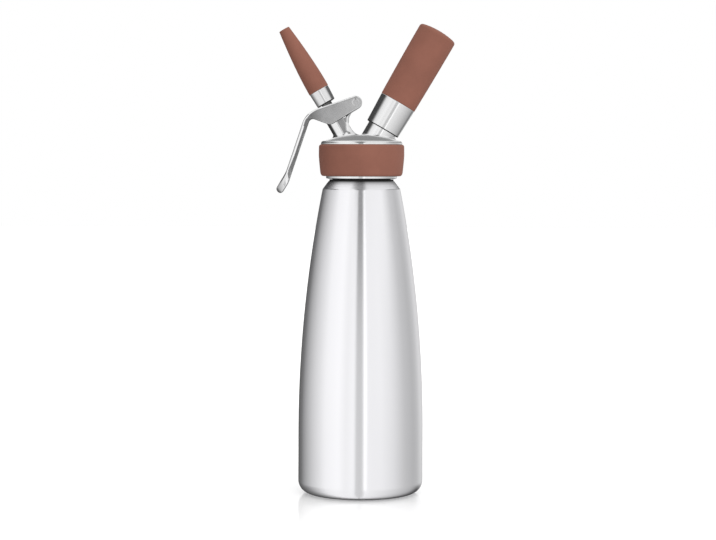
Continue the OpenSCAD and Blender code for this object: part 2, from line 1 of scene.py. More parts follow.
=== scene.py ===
import math
from contextlib import contextmanager

import bmesh
import bpy
import numpy as np
from mathutils import Matrix, Quaternion, Vector


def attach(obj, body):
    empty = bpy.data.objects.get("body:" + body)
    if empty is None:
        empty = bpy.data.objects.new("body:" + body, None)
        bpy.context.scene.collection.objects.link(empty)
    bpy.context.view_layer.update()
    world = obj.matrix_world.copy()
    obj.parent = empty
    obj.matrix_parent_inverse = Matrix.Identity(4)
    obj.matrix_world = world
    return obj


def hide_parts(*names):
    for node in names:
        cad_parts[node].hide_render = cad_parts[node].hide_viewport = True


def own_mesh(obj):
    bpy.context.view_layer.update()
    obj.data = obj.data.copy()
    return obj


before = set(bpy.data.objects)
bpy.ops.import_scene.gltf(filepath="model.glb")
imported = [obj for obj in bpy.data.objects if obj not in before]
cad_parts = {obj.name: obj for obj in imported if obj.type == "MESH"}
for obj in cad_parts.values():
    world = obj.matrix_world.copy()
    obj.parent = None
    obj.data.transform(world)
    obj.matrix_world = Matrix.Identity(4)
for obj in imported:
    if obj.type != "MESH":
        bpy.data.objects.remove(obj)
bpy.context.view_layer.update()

# Sizes are in millimetres in the part's own frame, and meshes are scaled to metres when made.
MM = 0.001

# Clearances of pieces that touch, slide and are loose, and how far cutters go past a surface
SNUG, SLIDING, LOOSE = 0.05, 0.1, 0.3
OVERLAP = 1.0

# Bottle
BOTTLE_R, WALL, BASE_CORNER = 47.5, 1.2, 9.5
BEAD_R, BEAD_W, BEAD_H, BEAD_CORNER = 25.0, 6.0, 1.2, 0.8
FLANK_START_Z, FLANK_TOP_Z, FLANK_TOP_R = 46.0, 232.0, 29.5
SHOULDER_TOP_R, SHOULDER_BLEND = 25.0, 2.5
NECK_Z, RIM_Z, RIM_EDGE = 238.0, 258.5, 0.5
NECK_FOOT_R, NECK_FOOT_H, NECK_FOOT_EDGE = 24.4, 1.4, 0.3
NECK_ROOT_R, NECK_CREST_R, NECK_BORE_R = 22.2, 23.4, 20.4
NECK_PITCH, NECK_RUNOUT = 4.0, 2.0
RIDGE_STEEPNESS, RIDGE_OFFSET = 1.6, 0.1
# The painted shadow in the gap under the head: a black ring on the neck, from and to heights over the neck's
# foot
NECK_SHADOW_FOOT, NECK_SHADOW_TOP = -0.1, 2.2

# Head
SKIRT_Z, CEILING_Z = 239.8, 261.35
SKIRT_BORE_R, SKIRT_R, SKIRT_FOOT_W, SKIRT_EDGE = 23.7, 28.1, 1.5, 0.4
LOWER_RIM_H, LOWER_RIM_IN, LOWER_RIM_FALL, LOWER_RIM_EDGE = 2.0, 1.2, 0.1, 0.2
FLANGE_Z, FLANGE_R, FLANGE_T, FLANGE_FOOT_H, FLANGE_FLAT = 265.85, 30.9, 2.8, 0.4, 0.1
HEAD_EDGE, DOME_H = 0.3, 4.8

# Grip band
BAND_T, BAND_FOOT_W, BAND_EDGE, BAND_CORNER = 4.4, 0.8, 0.3, 1.8
BAND_BELLY = 0.66

# Leaning axes: distances along them are counted from the point where they cross
TILT = math.radians(30)
AXIS_Z = 250.35
BARREL_R, BARREL_TOP, BARREL_RIM_H, BARREL_EDGE = 7.4, 41.0, 0.8, 0.7
SPRING_POCKET, SPRING_POCKET_R, SPRING_POCKET_EDGE = 8.0, 5.9, 0.4
FLAT_FOOT, FLAT_FULL, FLAT_EDGE, FLAT_MARGIN = 27.5, 34.0, 2.4, 1.0
FLAT_FOOT_W, FLAT_TOP_W, FLAT_BACK = 2.0, 4.5, 6.9
BARREL_FILLET, BARREL_BACK_FILLET, BOSS_FILLET = 2.2, 9.0, 1.6
STEM_R = 4.0
COLLAR_FOOT, VALVE_TRAVEL = 45.3, 4.0
SPRING_FLOOR, SPRING_WIRE, SPRING_TURNS = 33.0, 1.0, 6
VALVE_POCKET_R, SEAT_S = 7.5, 19.0
BOSS_R, BOSS_TOP, BOSS_EDGE = 11.6, 50.0, 0.5
BOSS_PITCH, BOSS_THREAD, BOSS_THREAD_FOOT, BOSS_RUNOUT = 2.0, 0.7, 2.5, 1.0
BOSS_COLLAR_H, BOSS_CHAMFER_H = 1.5, 0.3
CHARGER_SEAT_R, CHARGER_SEAT_FOOT, CHARGER_SEAT_EDGE, GAS_WAY_R = 4.95, 43.0, 0.3, 3.2
LUG_INSET, LUG_EDGE = 0.6, 0.6

# Lever, in the plane of the valve axis: p across the axis, s along it
PIVOT = np.array((19.6, 43.2))
PIVOT_R = 2.0
LEVER_END_R, LEVER_W = 4.9, 20.0
FORK_GAP, FORK_OPEN_P, FORK_EDGE, POCKET_P, POCKET_CORNER = 16.0, 12.7, 0.5, 10.2, 2.0
WEB_SLOPE, WEB_T, WEB_LEN = 11.0, 2.4, 38.1
BEND_R, BEND_ANGLE = 18.0, 52.5
ARM_LEN, ARM_T, ARM_W = 47.7, 4.2, 15.0
FLARE_ANGLE, FLARE_LEN, FLARE_T, FLARE_W = 12.5, 16.0, 5.6, 17.0
FLARE_R, FLARE_END_R = 30.0, 2.9
CHEEK_FOOT = np.array((-5.2, 37.6))
CHEEK_LEAN, CHEEK_FOOT_R = 130.0, 5.0
INNER_BEND_R, INNER_FLARE_R, INNER_END_R = 3.2, 18.0, 2.4
# Shares of the web and of the cheek's edge at which places on them face each other
WEB_SHARE, CHEEK_SHARE = 0.68, 0.4
NOSE_S, NOSE_R = 49.7, 1.6
EYE_R, EYE_SLIDE = 4.6, 2.2
# Heights between which the lever's cutters go
CUT_FOOT_S, CUT_EYE_S, CUT_TOP_S = 20.0, 30.0, 80.0
# Where the lever's width and section start to change on the way to its tip, and over what length
NARROWING, SWELLING = (-14.0, 13.0), (-47.0, 10.0)
CROWNING, PADDLING = (-13.0, 12.0), (-44.0, 8.0)
TIP_REACH, TIP_POWER, TIP_LEAST = 7.5, 2.4, 0.02
UPPER_EDGE, CROWN_ACROSS, CROWN_DOWN, LOWER_EDGE = 1.5, 1.3, 2.3, 0.9

# Spout and charger holder
FERRULE_S, FERRULE_BORE_R, FERRULE_MOUTH_H, FERRULE_INSET = 53.71, 3.8, 3.8, 0.3
TENON_R, TENON_BORE_R, TENON_FLOOR, TENON_LEN = 4.4, 2.4, 1.4, 12.0
SPOUT_S, SPOUT_END_S, SPOUT_BEND = 65.11, 118.11, 0.42
FERRULE_FOOT_R, SPOUT_R, SPOUT_END_R, SPOUT_BORE_R = 7.3, 8.1, 4.2, 3.0
SPOUT_END_EDGE, SPOUT_END_LIP = 0.3, 0.35
HOLDER_S, SLEEVE_S, SLEEVE_END_S, SLEEVE_BEND = 31.5, 54.8, 117.1, 0.55
HOLDER_FOOT_R, HOLDER_MID_R, HOLDER_END_R, HOLDER_INSET = 13.4, 14.4, 15.1, 0.2
SLEEVE_CROWN, SLEEVE_CORNER, SLEEVE_EDGE, SLEEVE_EDGE_MID = 2.0, 2.4, 0.4, 0.12
CUP_R, CUP_BORE_R, CUP_FLOOR_S, CUP_END_S = 12.0, 9.5, 110.8, 113.3
CUP_CORNER, CUP_BORE_CORNER = 2.0, 1.0
FOOT_EDGE, MOUTH_EDGE, SEAM_EDGE = 0.8, 0.2, 0.25

# The photograph's frame, in pixels, and how it was taken
IMAGE_W, IMAGE_H = 716, 540
PIXEL_MM = 0.7625
AXIS_PX, BASE_PY = 361.1, 493.4
CAMERA_DISTANCE, CAMERA_HEIGHT = 1500.0, 253.0
CAMERA_ROLL = math.radians(0.22)


# Plane geometry

def heading(angle):
    return np.array((math.cos(math.radians(angle)), math.sin(math.radians(angle))))


def unit(v):
    return v / np.linalg.norm(v)


def corner(a, b, c, r, steps):
    """Points of an arc of radius r that rounds the corner b between a and c."""
    u, w = unit(a - b), unit(c - b)
    half = math.acos(float(np.clip(u @ w, -1, 1))) / 2
    centre = b + unit(u + w) * r / math.sin(half)
    start = b + u * r / math.tan(half) - centre
    end = b + w * r / math.tan(half) - centre
    turn = math.atan2(start[0] * end[1] - start[1] * end[0], start @ end)
    first = math.atan2(start[1], start[0])
    angles = first + turn * np.linspace(0, 1, steps + 1)
    return [centre + r * np.array((math.cos(t), math.sin(t))) for t in angles]


def rounded(points, steps, closed=True):
    """An outline from (x, y, corner radius) points."""
    flat = [np.array(p[:2], float) for p in points]
    out = []
    for i, p in enumerate(points):
        radius = p[2] if len(p) > 2 else 0
        if radius <= 0 or (not closed and i in (0, len(points) - 1)):
            out.append(flat[i])
        else:
            out += corner(flat[i - 1], flat[i], flat[(i + 1) % len(flat)], radius, steps)
    return out


def meet(a, a_angle, b, b_angle):
    """Where the line through a in one direction meets the line through b in another."""
    u, w, gap = heading(a_angle), heading(b_angle), b - a
    return a + u * (gap[0] * w[1] - gap[1] * w[0]) / (u[0] * w[1] - u[1] * w[0])


def curve(a, b, c, steps=24):
    """Points of a quadratic curve from a to c that is drawn towards b."""
    a, b, c = (np.array(v, float) for v in (a, b, c))
    return [(1 - t) ** 2 * a + 2 * t * (1 - t) * b + t * t * c for t in np.linspace(0, 1, steps + 1)]


def ease(t):
    t = min(max(t, 0), 1)
    return t * t * (3 - 2 * t)


def arc(centre, r, first, last, steps=24):
    """Points of an arc, angles in degrees."""
    return [np.array(centre) + r * heading(t) for t in np.linspace(first, last, steps + 1)]


# Meshes

# Lengths that count as none, and in metres the gaps that are closed after a cut
TINY, CUT_GAP = 1e-6, 2e-6
# Edges that turn by more than this stay sharp
SHARP = math.radians(40)
FACE_WEIGHT = 70

UPRIGHT = Matrix.Identity(4)
VALVE_AXIS = Matrix.Translation((0, 0, AXIS_Z * MM)) @ Matrix.Rotation(-TILT, 4, "Y")
CHARGER_AXIS = Matrix.Translation((0, 0, AXIS_Z * MM)) @ Matrix.Rotation(TILT, 4, "Y")


def across_valve(p, s):
    """The frame of a piece at a place in the valve axis's plane that lies square to that plane."""
    return VALVE_AXIS @ Matrix.Translation((p * MM, 0, s * MM)) @ Matrix.Rotation(math.pi / 2, 4, "X")


def add_object(name, data):
    obj = bpy.data.objects.new(name, data)
    bpy.context.scene.collection.objects.link(obj)
    return obj


@contextmanager
def editing(mesh):
    build = bmesh.new()
    build.from_mesh(mesh)
    yield build
    build.to_mesh(mesh)
    build.free()


def piece(name, verts, faces, place=UPRIGHT, turned=False):
    """A mesh object from points in millimetres, smooth apart from its sharp edges.
    A turned one gets a map whose first axis runs round z."""
    mesh = bpy.data.meshes.new(name)
    mesh.from_pydata([tuple(float(c) * MM for c in v) for v in verts], [], faces)
    with editing(mesh) as build:
        bmesh.ops.remove_doubles(build, verts=build.verts, dist=TINY)
        bmesh.ops.recalc_face_normals(build, faces=build.faces)
        if turned:
            round_map(build)
    mesh.transform(place)
    obj = add_object(name, mesh)
    smooth(obj)
    return obj


def round_map(build):
    layer = build.loops.layers.uv.new("turned")
    for face in build.faces:
        middle = face.calc_center_median()
        about = math.atan2(middle.y, middle.x)
        for loop in face.loops:
            x, y, z = loop.vert.co
            turn = (math.atan2(y, x) - about + math.pi) % (2 * math.pi) - math.pi
            loop[layer].uv = ((about + turn) / (2 * math.pi), z + math.hypot(x, y))


def smooth(obj):
    obj.data.polygons.foreach_set("use_smooth", [True] * len(obj.data.polygons))
    obj.data.set_sharp_from_angle(angle=SHARP)
    obj.data.update()


def weigh_normals(obj):
    modifier = obj.modifiers.new("even_shading", "WEIGHTED_NORMAL")
    modifier.keep_sharp = True
    modifier.weight = FACE_WEIGHT


def band_faces(rings, size, closed=False):
    """Faces between rings of so many points each. Closed ones go on from the last ring to the first."""
    faces = []
    for low in range(rings if closed else rings - 1):
        high = (low + 1) % rings
        for i in range(size):
            j = (i + 1) % size
            faces.append((low * size + i, low * size + j, high * size + j, high * size + i))
    return faces


def tube_faces(rings, size):
    """The same, with one face over the first ring and one over the last."""
    count = rings * size
    return band_faces(rings, size) + [tuple(range(size)), tuple(range(count - 1, count - 1 - size, -1))]


def lathe_mesh(outline, segments, bulge=None):
    """Points and faces of an outline of (radius, height) points turned about z.
    bulge(angle, radius, height) gives what is added to the radius there."""
    verts, on_axis = [], []
    for r, z in outline:
        on_axis += [r < TINY] * segments
        for t in np.linspace(0, 2 * math.pi, segments, endpoint=False):
            radius = r + (bulge(t, r, z) if bulge else 0)
            verts.append((radius * math.cos(t), radius * math.sin(t), z))
    faces = band_faces(len(outline), segments, closed=True)
    return verts, [face for face in faces if not all(on_axis[i] for i in face)]


def lathe(name, outline, place, segments, bulge=None):
    obj = piece(name, *lathe_mesh(outline, segments, bulge), place, turned=True)
    weigh_normals(obj)
    return obj


def prism(name, outline, low, high, place):
    """A solid cutter: an outline of (x, z) points carried along y from low to high."""
    verts = [(x, y, z) for y in (low, high) for x, z in outline]
    return piece(name, verts, tube_faces(2, len(outline)), place)


def rod(name, r, low, high, place, segments=96):
    return piece(name, *lathe_mesh([(0, low), (r, low), (r, high), (0, high)], segments), place)


def cut(obj, *cutters):
    """Cuts the cutters out of a mesh, and removes them."""
    for cutter in cutters:
        modifier = obj.modifiers.new("cut", "BOOLEAN")
        modifier.operation = "DIFFERENCE"
        modifier.solver = "EXACT"
        modifier.object = cutter
    bpy.context.view_layer.update()
    graph = bpy.context.evaluated_depsgraph_get()
    mesh = bpy.data.meshes.new_from_object(obj.evaluated_get(graph))
    obj.modifiers.clear()
    old, obj.data = obj.data, mesh
    bpy.data.meshes.remove(old)
    mesh.name = obj.name
    clean(mesh)
    smooth(obj)
    for cutter in cutters:
        bpy.data.objects.remove(cutter, do_unlink=True)


def clean(mesh):
    """Removes the doubled points and the faces without area that a cut leaves."""
    with editing(mesh) as build:
        bmesh.ops.remove_doubles(build, verts=build.verts, dist=CUT_GAP)
        bmesh.ops.dissolve_degenerate(build, dist=CUT_GAP, edges=build.edges)
        bmesh.ops.triangulate(build, faces=[face for face in build.faces if len(face.verts) > 4])
        bmesh.ops.dissolve_degenerate(build, dist=CUT_GAP, edges=build.edges)


def join(target, *others):
    """Moves the meshes of other objects into the target's own."""
    with editing(target.data) as build:
        for other in others:
            build.from_mesh(other.data)
            bpy.data.objects.remove(other, do_unlink=True)
    smooth(target)
    return target


# Materials

# Steel's clouds, the range of its noise, shares of its roughness at both ends, and reliefs in metres
CLOUD_WAVES, CLOUD_SHARE = (14, 14, 14), 0.3
STEEL_NOISE, STEEL_ROUGHNESS, STEEL_RELIEF, SILICONE_RELIEF = (0.35, 0.95), (0.75, 1.3), 0.0001, 0.0002
ANISOTROPY_TURN = 0.25
# The shade on the barrel under the lever's arm: across the axis, round it, along it, and its colour
SHADE_SIDE, SHADE_REACH, SHADE_RISE = (-4.6, -5.4), (9.2, 8.4), 2.0
SHADE_COLOR = (0.09, 0.09, 0.09, 1)
# How rough a noise is, and the part of it over which a tint changes
NOISE_ROUGHNESS, TINT_FROM, TINT_TO = 0.6, 0.3, 0.7


def material(name, color, roughness, metallic=0.0):
    made = bpy.data.materials.new(name)
    made.use_nodes = True
    tree = made.node_tree
    shader = tree.nodes["Principled BSDF"]
    fill(tree, shader, {"Base Color": (*color, 1), "Metallic": metallic, "Roughness": roughness})
    return made, tree, shader


def fill(tree, node, sockets):
    """Gives each socket of a node a value, or a link from the output of another node."""
    for key, value in sockets.items():
        if isinstance(value, bpy.types.NodeSocket):
            tree.links.new(value, node.inputs[key])
        else:
            node.inputs[key].default_value = value


def add_node(tree, kind, sockets, **settings):
    node = tree.nodes.new("ShaderNode" + kind)
    for key, value in settings.items():
        setattr(node, key, value)
    fill(tree, node, sockets)
    return node


def calc(tree, operation, *values):
    """A number worked out from values and outputs."""
    return add_node(tree, "Math", dict(enumerate(values)), operation=operation).outputs[0]


def length_of(tree, vector):
    return add_node(tree, "VectorMath", {0: vector}, operation="LENGTH").outputs["Value"]


def spread(tree, value, source, target=(0.0, 1.0)):
    """A value mapped from one range to another."""
    ends = {"From Min": source[0], "From Max": source[1], "To Min": target[0], "To Max": target[1]}
    return add_node(tree, "MapRange", {"Value": value, **ends}).outputs["Result"]


def ramp(tree, value, stops):
    """A colour that follows a value through stops of (place, colour)."""
    node = add_node(tree, "ValToRGB", {"Fac": value})
    elements = node.color_ramp.elements
    while len(elements) < len(stops):
        elements.new(1.0)
    for element, (place, color) in zip(elements, stops):
        element.position = place
        element.color = (*color, 1)
    return node.outputs["Color"]


def tint(tree, value, dark, light):
    return ramp(tree, value, [(TINT_FROM, dark), (TINT_TO, light)])


def grey_ramp(tree, value, stops):
    return ramp(tree, value, [(place, (level, level, level)) for place, level in stops])


def object_place(tree):
    return add_node(tree, "TexCoord", {}).outputs["Object"]


def lean_to(tree, lean):
    """A place on the object, turned so that an axis that leans by an angle to the right is upright."""
    about = {"Vector": object_place(tree), "Center": (0, 0, AXIS_Z * MM), "Angle": -lean}
    return add_node(tree, "VectorRotate", about, rotation_type="Y_AXIS").outputs["Vector"]


def noise(tree, stretch, detail=3.0, lean=0.0):
    """A noise with so many waves to the metre along x, y and z, where z leans by an angle to the right."""
    scaled = add_node(tree, "Mapping", {"Vector": lean_to(tree, lean), "Scale": stretch}).outputs["Vector"]
    fine = {"Vector": scaled, "Scale": 1.0, "Detail": detail, "Roughness": NOISE_ROUGHNESS}
    return add_node(tree, "TexNoise", fine).outputs["Fac"]


def faded(tree, tone, stops, axis):
    """A colour times a share that changes along an axis: painted shade and light."""
    split = add_node(tree, "SeparateXYZ", {0: object_place(tree)})
    first, last = stops[0][0], stops[-1][0]
    way = spread(tree, split.outputs[axis], (first * MM, last * MM))
    shares = grey_ramp(tree, way, [((place - first) / (last - first), share) for place, share in stops])
    sockets = {"Factor": 1.0, "A": tone, "B": shares}
    return add_node(tree, "Mix", sockets, data_type="RGBA", blend_type="MULTIPLY").outputs["Result"]


def shaded(tree, tone, start):
    """A colour that darkens on the barrel's side under the lever's arm, from a place on the axis upwards."""
    leaning = lean_to(tree, -TILT)
    split = add_node(tree, "SeparateXYZ", {0: leaning})
    across = add_node(tree, "VectorMath", {0: leaning, 1: (1, 1, 0)}, operation="MULTIPLY")
    foot = AXIS_Z + start
    factor = 1.0
    for value, ends in (
        (split.outputs["X"], SHADE_SIDE),
        (length_of(tree, across.outputs["Vector"]), SHADE_REACH),
        (split.outputs["Z"], (foot, foot + SHADE_RISE)),
    ):
        factor = calc(tree, "MULTIPLY", factor, spread(tree, value, [end * MM for end in ends]))
    sockets = {"Factor": factor, "A": tone, "B": SHADE_COLOR}
    return add_node(tree, "Mix", sockets, data_type="RGBA").outputs["Result"]


def bump(tree, height, strength, distance):
    sockets = {"Strength": strength, "Distance": distance, "Height": height}
    return add_node(tree, "Bump", sockets).outputs["Normal"]


def steel(name, color, roughness, stretch, lines=0.04, anisotropic=0.0, relief=0.05, lean=0.0, painted_shading=None,
          painted_shading_axis="X", shade=None):
    """Steel whose finish is a noise stretched along the direction in which it was worked.
    painted_shading gives stops of (place in millimetres, share of the colour) of painted shade and light
    along an axis, and shade the place on the valve axis from which the barrel darkens under the lever with
    painted shade."""
    made, tree, shader = material(name, color, roughness, metallic=1.0)
    grain = noise(tree, stretch, lean=lean)
    cloud = noise(tree, CLOUD_WAVES, detail=2)
    fill(tree, shader, {"Anisotropic": anisotropic, "Anisotropic Rotation": ANISOTROPY_TURN})
    if anisotropic:
        tangent = add_node(tree, "Tangent", {}, direction_type="UV_MAP", uv_map="turned")
        fill(tree, shader, {"Tangent": tangent.outputs["Tangent"]})
    clouded = calc(tree, "MULTIPLY_ADD", cloud, CLOUD_SHARE, grain)
    rough = spread(tree, clouded, STEEL_NOISE, [roughness * share for share in STEEL_ROUGHNESS])
    tone = tint(tree, grain, [c * (1 - lines) for c in color], [min(c * (1 + lines), 1) for c in color])
    if painted_shading:
        tone = faded(tree, tone, painted_shading, painted_shading_axis)
    if shade:
        tone = shaded(tree, tone, shade)
    normal = bump(tree, grain, relief, STEEL_RELIEF)
    fill(tree, shader, {"Base Color": tone, "Roughness": rough, "Normal": normal})
    return made


def silicone(name, color, mean=0.62, roughness=(0.54, 0.72), tones=(0.93, 1.07), sheen=0.16, relief=0.12):
    """Matte moulded silicone: a fine grain and faint clouds of tone."""
    made, tree, shader = material(name, color, mean)
    cloud = noise(tree, (55, 55, 55), detail=4)
    grain = noise(tree, (2600, 2600, 2600), detail=2)
    dark, light = ([c * share for c in color] for share in tones)
    fill(tree, shader, {
        "Base Color": tint(tree, cloud, dark, light),
        "Roughness": spread(tree, grain, (TINT_FROM, TINT_TO), roughness),
        "Specular IOR Level": sheen,
        "Normal": bump(tree, grain, relief, SILICONE_RELIEF),
    })
    return made


BROWN = (0.285, 0.117, 0.083)
# Waves to the metre in brushed, turned, plain and dull steel
BRUSHED, TURNED, PLAIN, DULL = (4, 4, 1500), (8, 8, 2200), (300, 300, 1800), (150, 150, 150)
# Stops of (millimetres, share of the colour) of painted shade and light. The head's painted shadow is counted
# from the neck's foot.
HEAD_SHADOW = [(-5, 1.0), (-3, 0.9), (-1.5, 0.62), (-0.7, 0.38), (0, 0.15)]
# Painted shade that darkens the lever towards the tip of its arm
LEVER_TIP_SHADE = [(-66, 0.55), (-61, 0.6), (-58.5, 0.85), (-56, 1.0), (0, 1.0)]
# Painted shade and light on the lever's sides: darkest near the bend, lightest at the round end
CHEEK_SHADE_AND_LIGHT = [(-62, 0.44), (-46, 0.37), (-38, 0.42), (-30, 0.8), (-20, 0.86), (-8, 1.0), (4, 1.1)]
BOTTLE_STEEL = steel("bottle_steel", (0.918, 0.915, 0.938), 0.2, BRUSHED, lines=0.012, anisotropic=0.85,
                     relief=0.02, painted_shading=[(NECK_Z + h, share) for h, share in HEAD_SHADOW], painted_shading_axis="Z")
CAST_STEEL = steel("cast_steel", (0.86, 0.86, 0.863), 0.13, (90, 90, 90), lines=0.02, relief=0.01, shade=24.5)
LEVER_STEEL = steel("lever_steel", (0.91, 0.91, 0.913), 0.16, (240, 40, 240), lines=0.02, relief=0.02,
                    painted_shading=LEVER_TIP_SHADE)
# A duller and darker copy of the lever's steel: a duller finish with painted shade
CHEEK_DULL_SHADE_STEEL = steel("cheek_dull_shade_steel", (0.6, 0.6, 0.603), 0.2, DULL, lines=0.05, relief=0.3, painted_shading=CHEEK_SHADE_AND_LIGHT)
# A dark copy of the cast steel: painted shade on the bracket's recessed flat sides
BRACKET_SHADE_STEEL = steel("bracket_shade_steel", (0.38, 0.38, 0.383), 0.2, DULL, lines=0.05, relief=0.3)
SATIN = {"roughness": 0.13, "stretch": TURNED, "lines": 0.03, "anisotropic": 0.4}
FERRULE_STEEL = steel("ferrule_steel", (0.77, 0.77, 0.773), lean=-TILT, **SATIN)
HOLDER_STEEL = steel("holder_steel", (0.82, 0.82, 0.823), lean=TILT, **SATIN)
NECK_STEEL = steel("neck_steel", (0.62, 0.62, 0.623), 0.3, BRUSHED)
# Near black steel on the neck's foot: a painted shadow in the gap under the head
NECK_SHADOW_STEEL = steel("neck_shadow_steel", (0.03, 0.03, 0.03), 0.6, BRUSHED)
# Near black steel on the valve stem: painted shade in the gap under the ferrule
STEM_SHADOW_STEEL = steel("stem_shadow_steel", (0.13, 0.13, 0.13), 0.35, PLAIN)
# Near black steel for the painted shadow line round the feet of the ferrule and the holder's cup
FOOT_SHADOW_STEEL = steel("foot_shadow_steel", (0.05, 0.05, 0.05), 0.35, TURNED)
PIN_STEEL = steel("pin_steel", (0.6, 0.6, 0.604), 0.24, PLAIN, lines=0.05)
BRASS = steel("brass", (0.72, 0.5, 0.22), 0.3, PLAIN)
GRIP_SILICONE = silicone("grip_silicone", BROWN)
SLEEVE_SILICONE = silicone("sleeve_silicone", BROWN)
SPOUT_SILICONE = silicone("spout_silicone", BROWN)
SEAL_SILICONE = silicone("seal_silicone", (0.5, 0.5, 0.48))


def dress(obj, body, finish, node):
    """Gives a piece its finish and its body, and hides the node that it stands for."""
    obj.data.materials.clear()
    obj.data.materials.append(finish)
    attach(obj, body)
    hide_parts(node)
    obj.visible_glossy = False


def foot_shadow_ring(obj, place, s):
    """Paints a shadow line on the part of a leaning piece below a place on its axis, with near black steel.
    """
    obj.data.materials.append(FOOT_SHADOW_STEEL)
    to_axis = place.inverted()
    for face in obj.data.polygons:
        face.material_index = int((to_axis @ face.center).z < s * MM)


# Bottle

def bottle_side(inset, steps, flank_steps=39):
    """Half section of the bottle's wall, from the axis along the base and up to the neck."""
    lean, rise = BOTTLE_R - FLANK_TOP_R, FLANK_TOP_Z - FLANK_START_Z
    flank_r = (rise * rise + lean * lean) / (2 * lean)
    bead_in, bead_out = BEAD_R - BEAD_W / 2, BEAD_R + BEAD_W / 2
    flank = []
    for h in np.linspace(0, rise, flank_steps + 1)[1:-1]:
        flank.append((BOTTLE_R - flank_r + math.sqrt(flank_r ** 2 - h * h) - inset, FLANK_START_Z + h))
    return rounded([
        (0, inset),
        (bead_in, inset, BEAD_CORNER), (bead_in + BEAD_H, inset + BEAD_H, BEAD_CORNER),
        (bead_out - BEAD_H, inset + BEAD_H, BEAD_CORNER), (bead_out, inset, BEAD_CORNER),
        (BOTTLE_R - inset, inset, BASE_CORNER - inset), (BOTTLE_R - inset, FLANK_START_Z),
        *flank,
        (FLANK_TOP_R - inset, FLANK_TOP_Z, SHOULDER_BLEND),
        (SHOULDER_TOP_R - inset, NECK_Z - inset / 2),
    ], steps, closed=False)


def neck_thread(angle, r, z):
    """A single ridge that winds up the neck and fades out at both ends."""
    if abs(r - NECK_ROOT_R) > TINY:
        return 0
    wave = math.cos(2 * math.pi * (z / NECK_PITCH - angle / (2 * math.pi)))
    ridge = min(max(wave * RIDGE_STEEPNESS + RIDGE_OFFSET, 0), 1)
    room = min(z - NECK_Z, RIM_Z - z)
    return (NECK_CREST_R - NECK_ROOT_R) * ridge * min(max(room / NECK_RUNOUT - 1, 0), 1)


def make_bottle():
    foot_z = NECK_Z + NECK_FOOT_H
    edge_z = RIM_Z - RIM_EDGE
    foot_edge = (NECK_FOOT_R - NECK_FOOT_EDGE, foot_z - NECK_FOOT_EDGE)
    outline = bottle_side(0, 14) + [(NECK_FOOT_R, NECK_Z)] + arc(foot_edge, NECK_FOOT_EDGE, 0, 90, 4)
    outline += [(NECK_ROOT_R, z) for z in np.linspace(foot_z, edge_z, 84)]
    outline += arc((NECK_ROOT_R - RIM_EDGE, edge_z), RIM_EDGE, 0, 90, 4)[1:]
    outline += arc((NECK_BORE_R + RIM_EDGE, edge_z), RIM_EDGE, 90, 180, 4)
    outline += [(NECK_BORE_R, NECK_Z - WALL)] + bottle_side(WALL, 10)[::-1]
    bottle = lathe("bottle_shell", outline, UPRIGHT, 224, neck_thread)
    dress(bottle, "bottle", BOTTLE_STEEL, "bottle")
    bottle.data.materials.append(NECK_STEEL)
    bottle.data.materials.append(NECK_SHADOW_STEEL)
    # The neck's foot gets the painted shadow, a black ring between the bottle's steel and the neck's
    for face in bottle.data.polygons:
        height = face.center.z / MM - NECK_Z
        face.material_index = 0 if height < NECK_SHADOW_FOOT else 2 if height < NECK_SHADOW_TOP else 1
    bottle.visible_glossy = True


make_bottle()


# Head

DOME_Z = FLANGE_Z + FLANGE_T
DOME_TOP_Z = DOME_Z + DOME_H
FLANGE_EDGE = FLANGE_T - FLANGE_FOOT_H
DOME_FOOT_R = FLANGE_R - FLANGE_EDGE - FLANGE_FLAT
DOME_R = (DOME_FOOT_R ** 2 + DOME_H ** 2) / (2 * DOME_H)
DOME_CENTRE = Vector((0, 0, DOME_TOP_Z - DOME_R))


def head_body():
    """Skirt, flange and dome, hollow below the ceiling."""
    edge = math.degrees(math.asin(DOME_FOOT_R / DOME_R))
    dome = [(r, z + DOME_CENTRE.z) for r, z in arc((0, 0), DOME_R, 90, 90 - edge, 40)]
    dome[0] = (0, DOME_TOP_Z)
    rim_r, foot_r = SKIRT_R - LOWER_RIM_IN, SKIRT_BORE_R + SKIRT_FOOT_W
    side = rounded([
        dome[-1],
        (FLANGE_R, DOME_Z, FLANGE_EDGE), (FLANGE_R, FLANGE_Z, HEAD_EDGE),
        (SKIRT_R, FLANGE_Z, HEAD_EDGE), (SKIRT_R, SKIRT_Z + LOWER_RIM_H, LOWER_RIM_EDGE),
        (rim_r, SKIRT_Z + LOWER_RIM_H - LOWER_RIM_FALL, LOWER_RIM_EDGE),
        (rim_r, SKIRT_Z + SKIRT_EDGE, SKIRT_EDGE),
        (foot_r, SKIRT_Z, SKIRT_EDGE), (SKIRT_BORE_R, SKIRT_Z, SKIRT_EDGE),
        (SKIRT_BORE_R, CEILING_Z, HEAD_EDGE), (0, CEILING_Z),
    ], 6, closed=False)
    body = piece("head_body", *lathe_mesh(dome[:-1] + side, 192))
    cut(body,
        rod("pocket", VALVE_POCKET_R, 0, SEAT_S, VALVE_AXIS),
        rod("guide", STEM_R + SLIDING, SEAT_S - OVERLAP, BARREL_TOP, VALVE_AXIS),
        rod("gas_way", GAS_WAY_R, 0, CHARGER_SEAT_FOOT, CHARGER_AXIS))
    return body


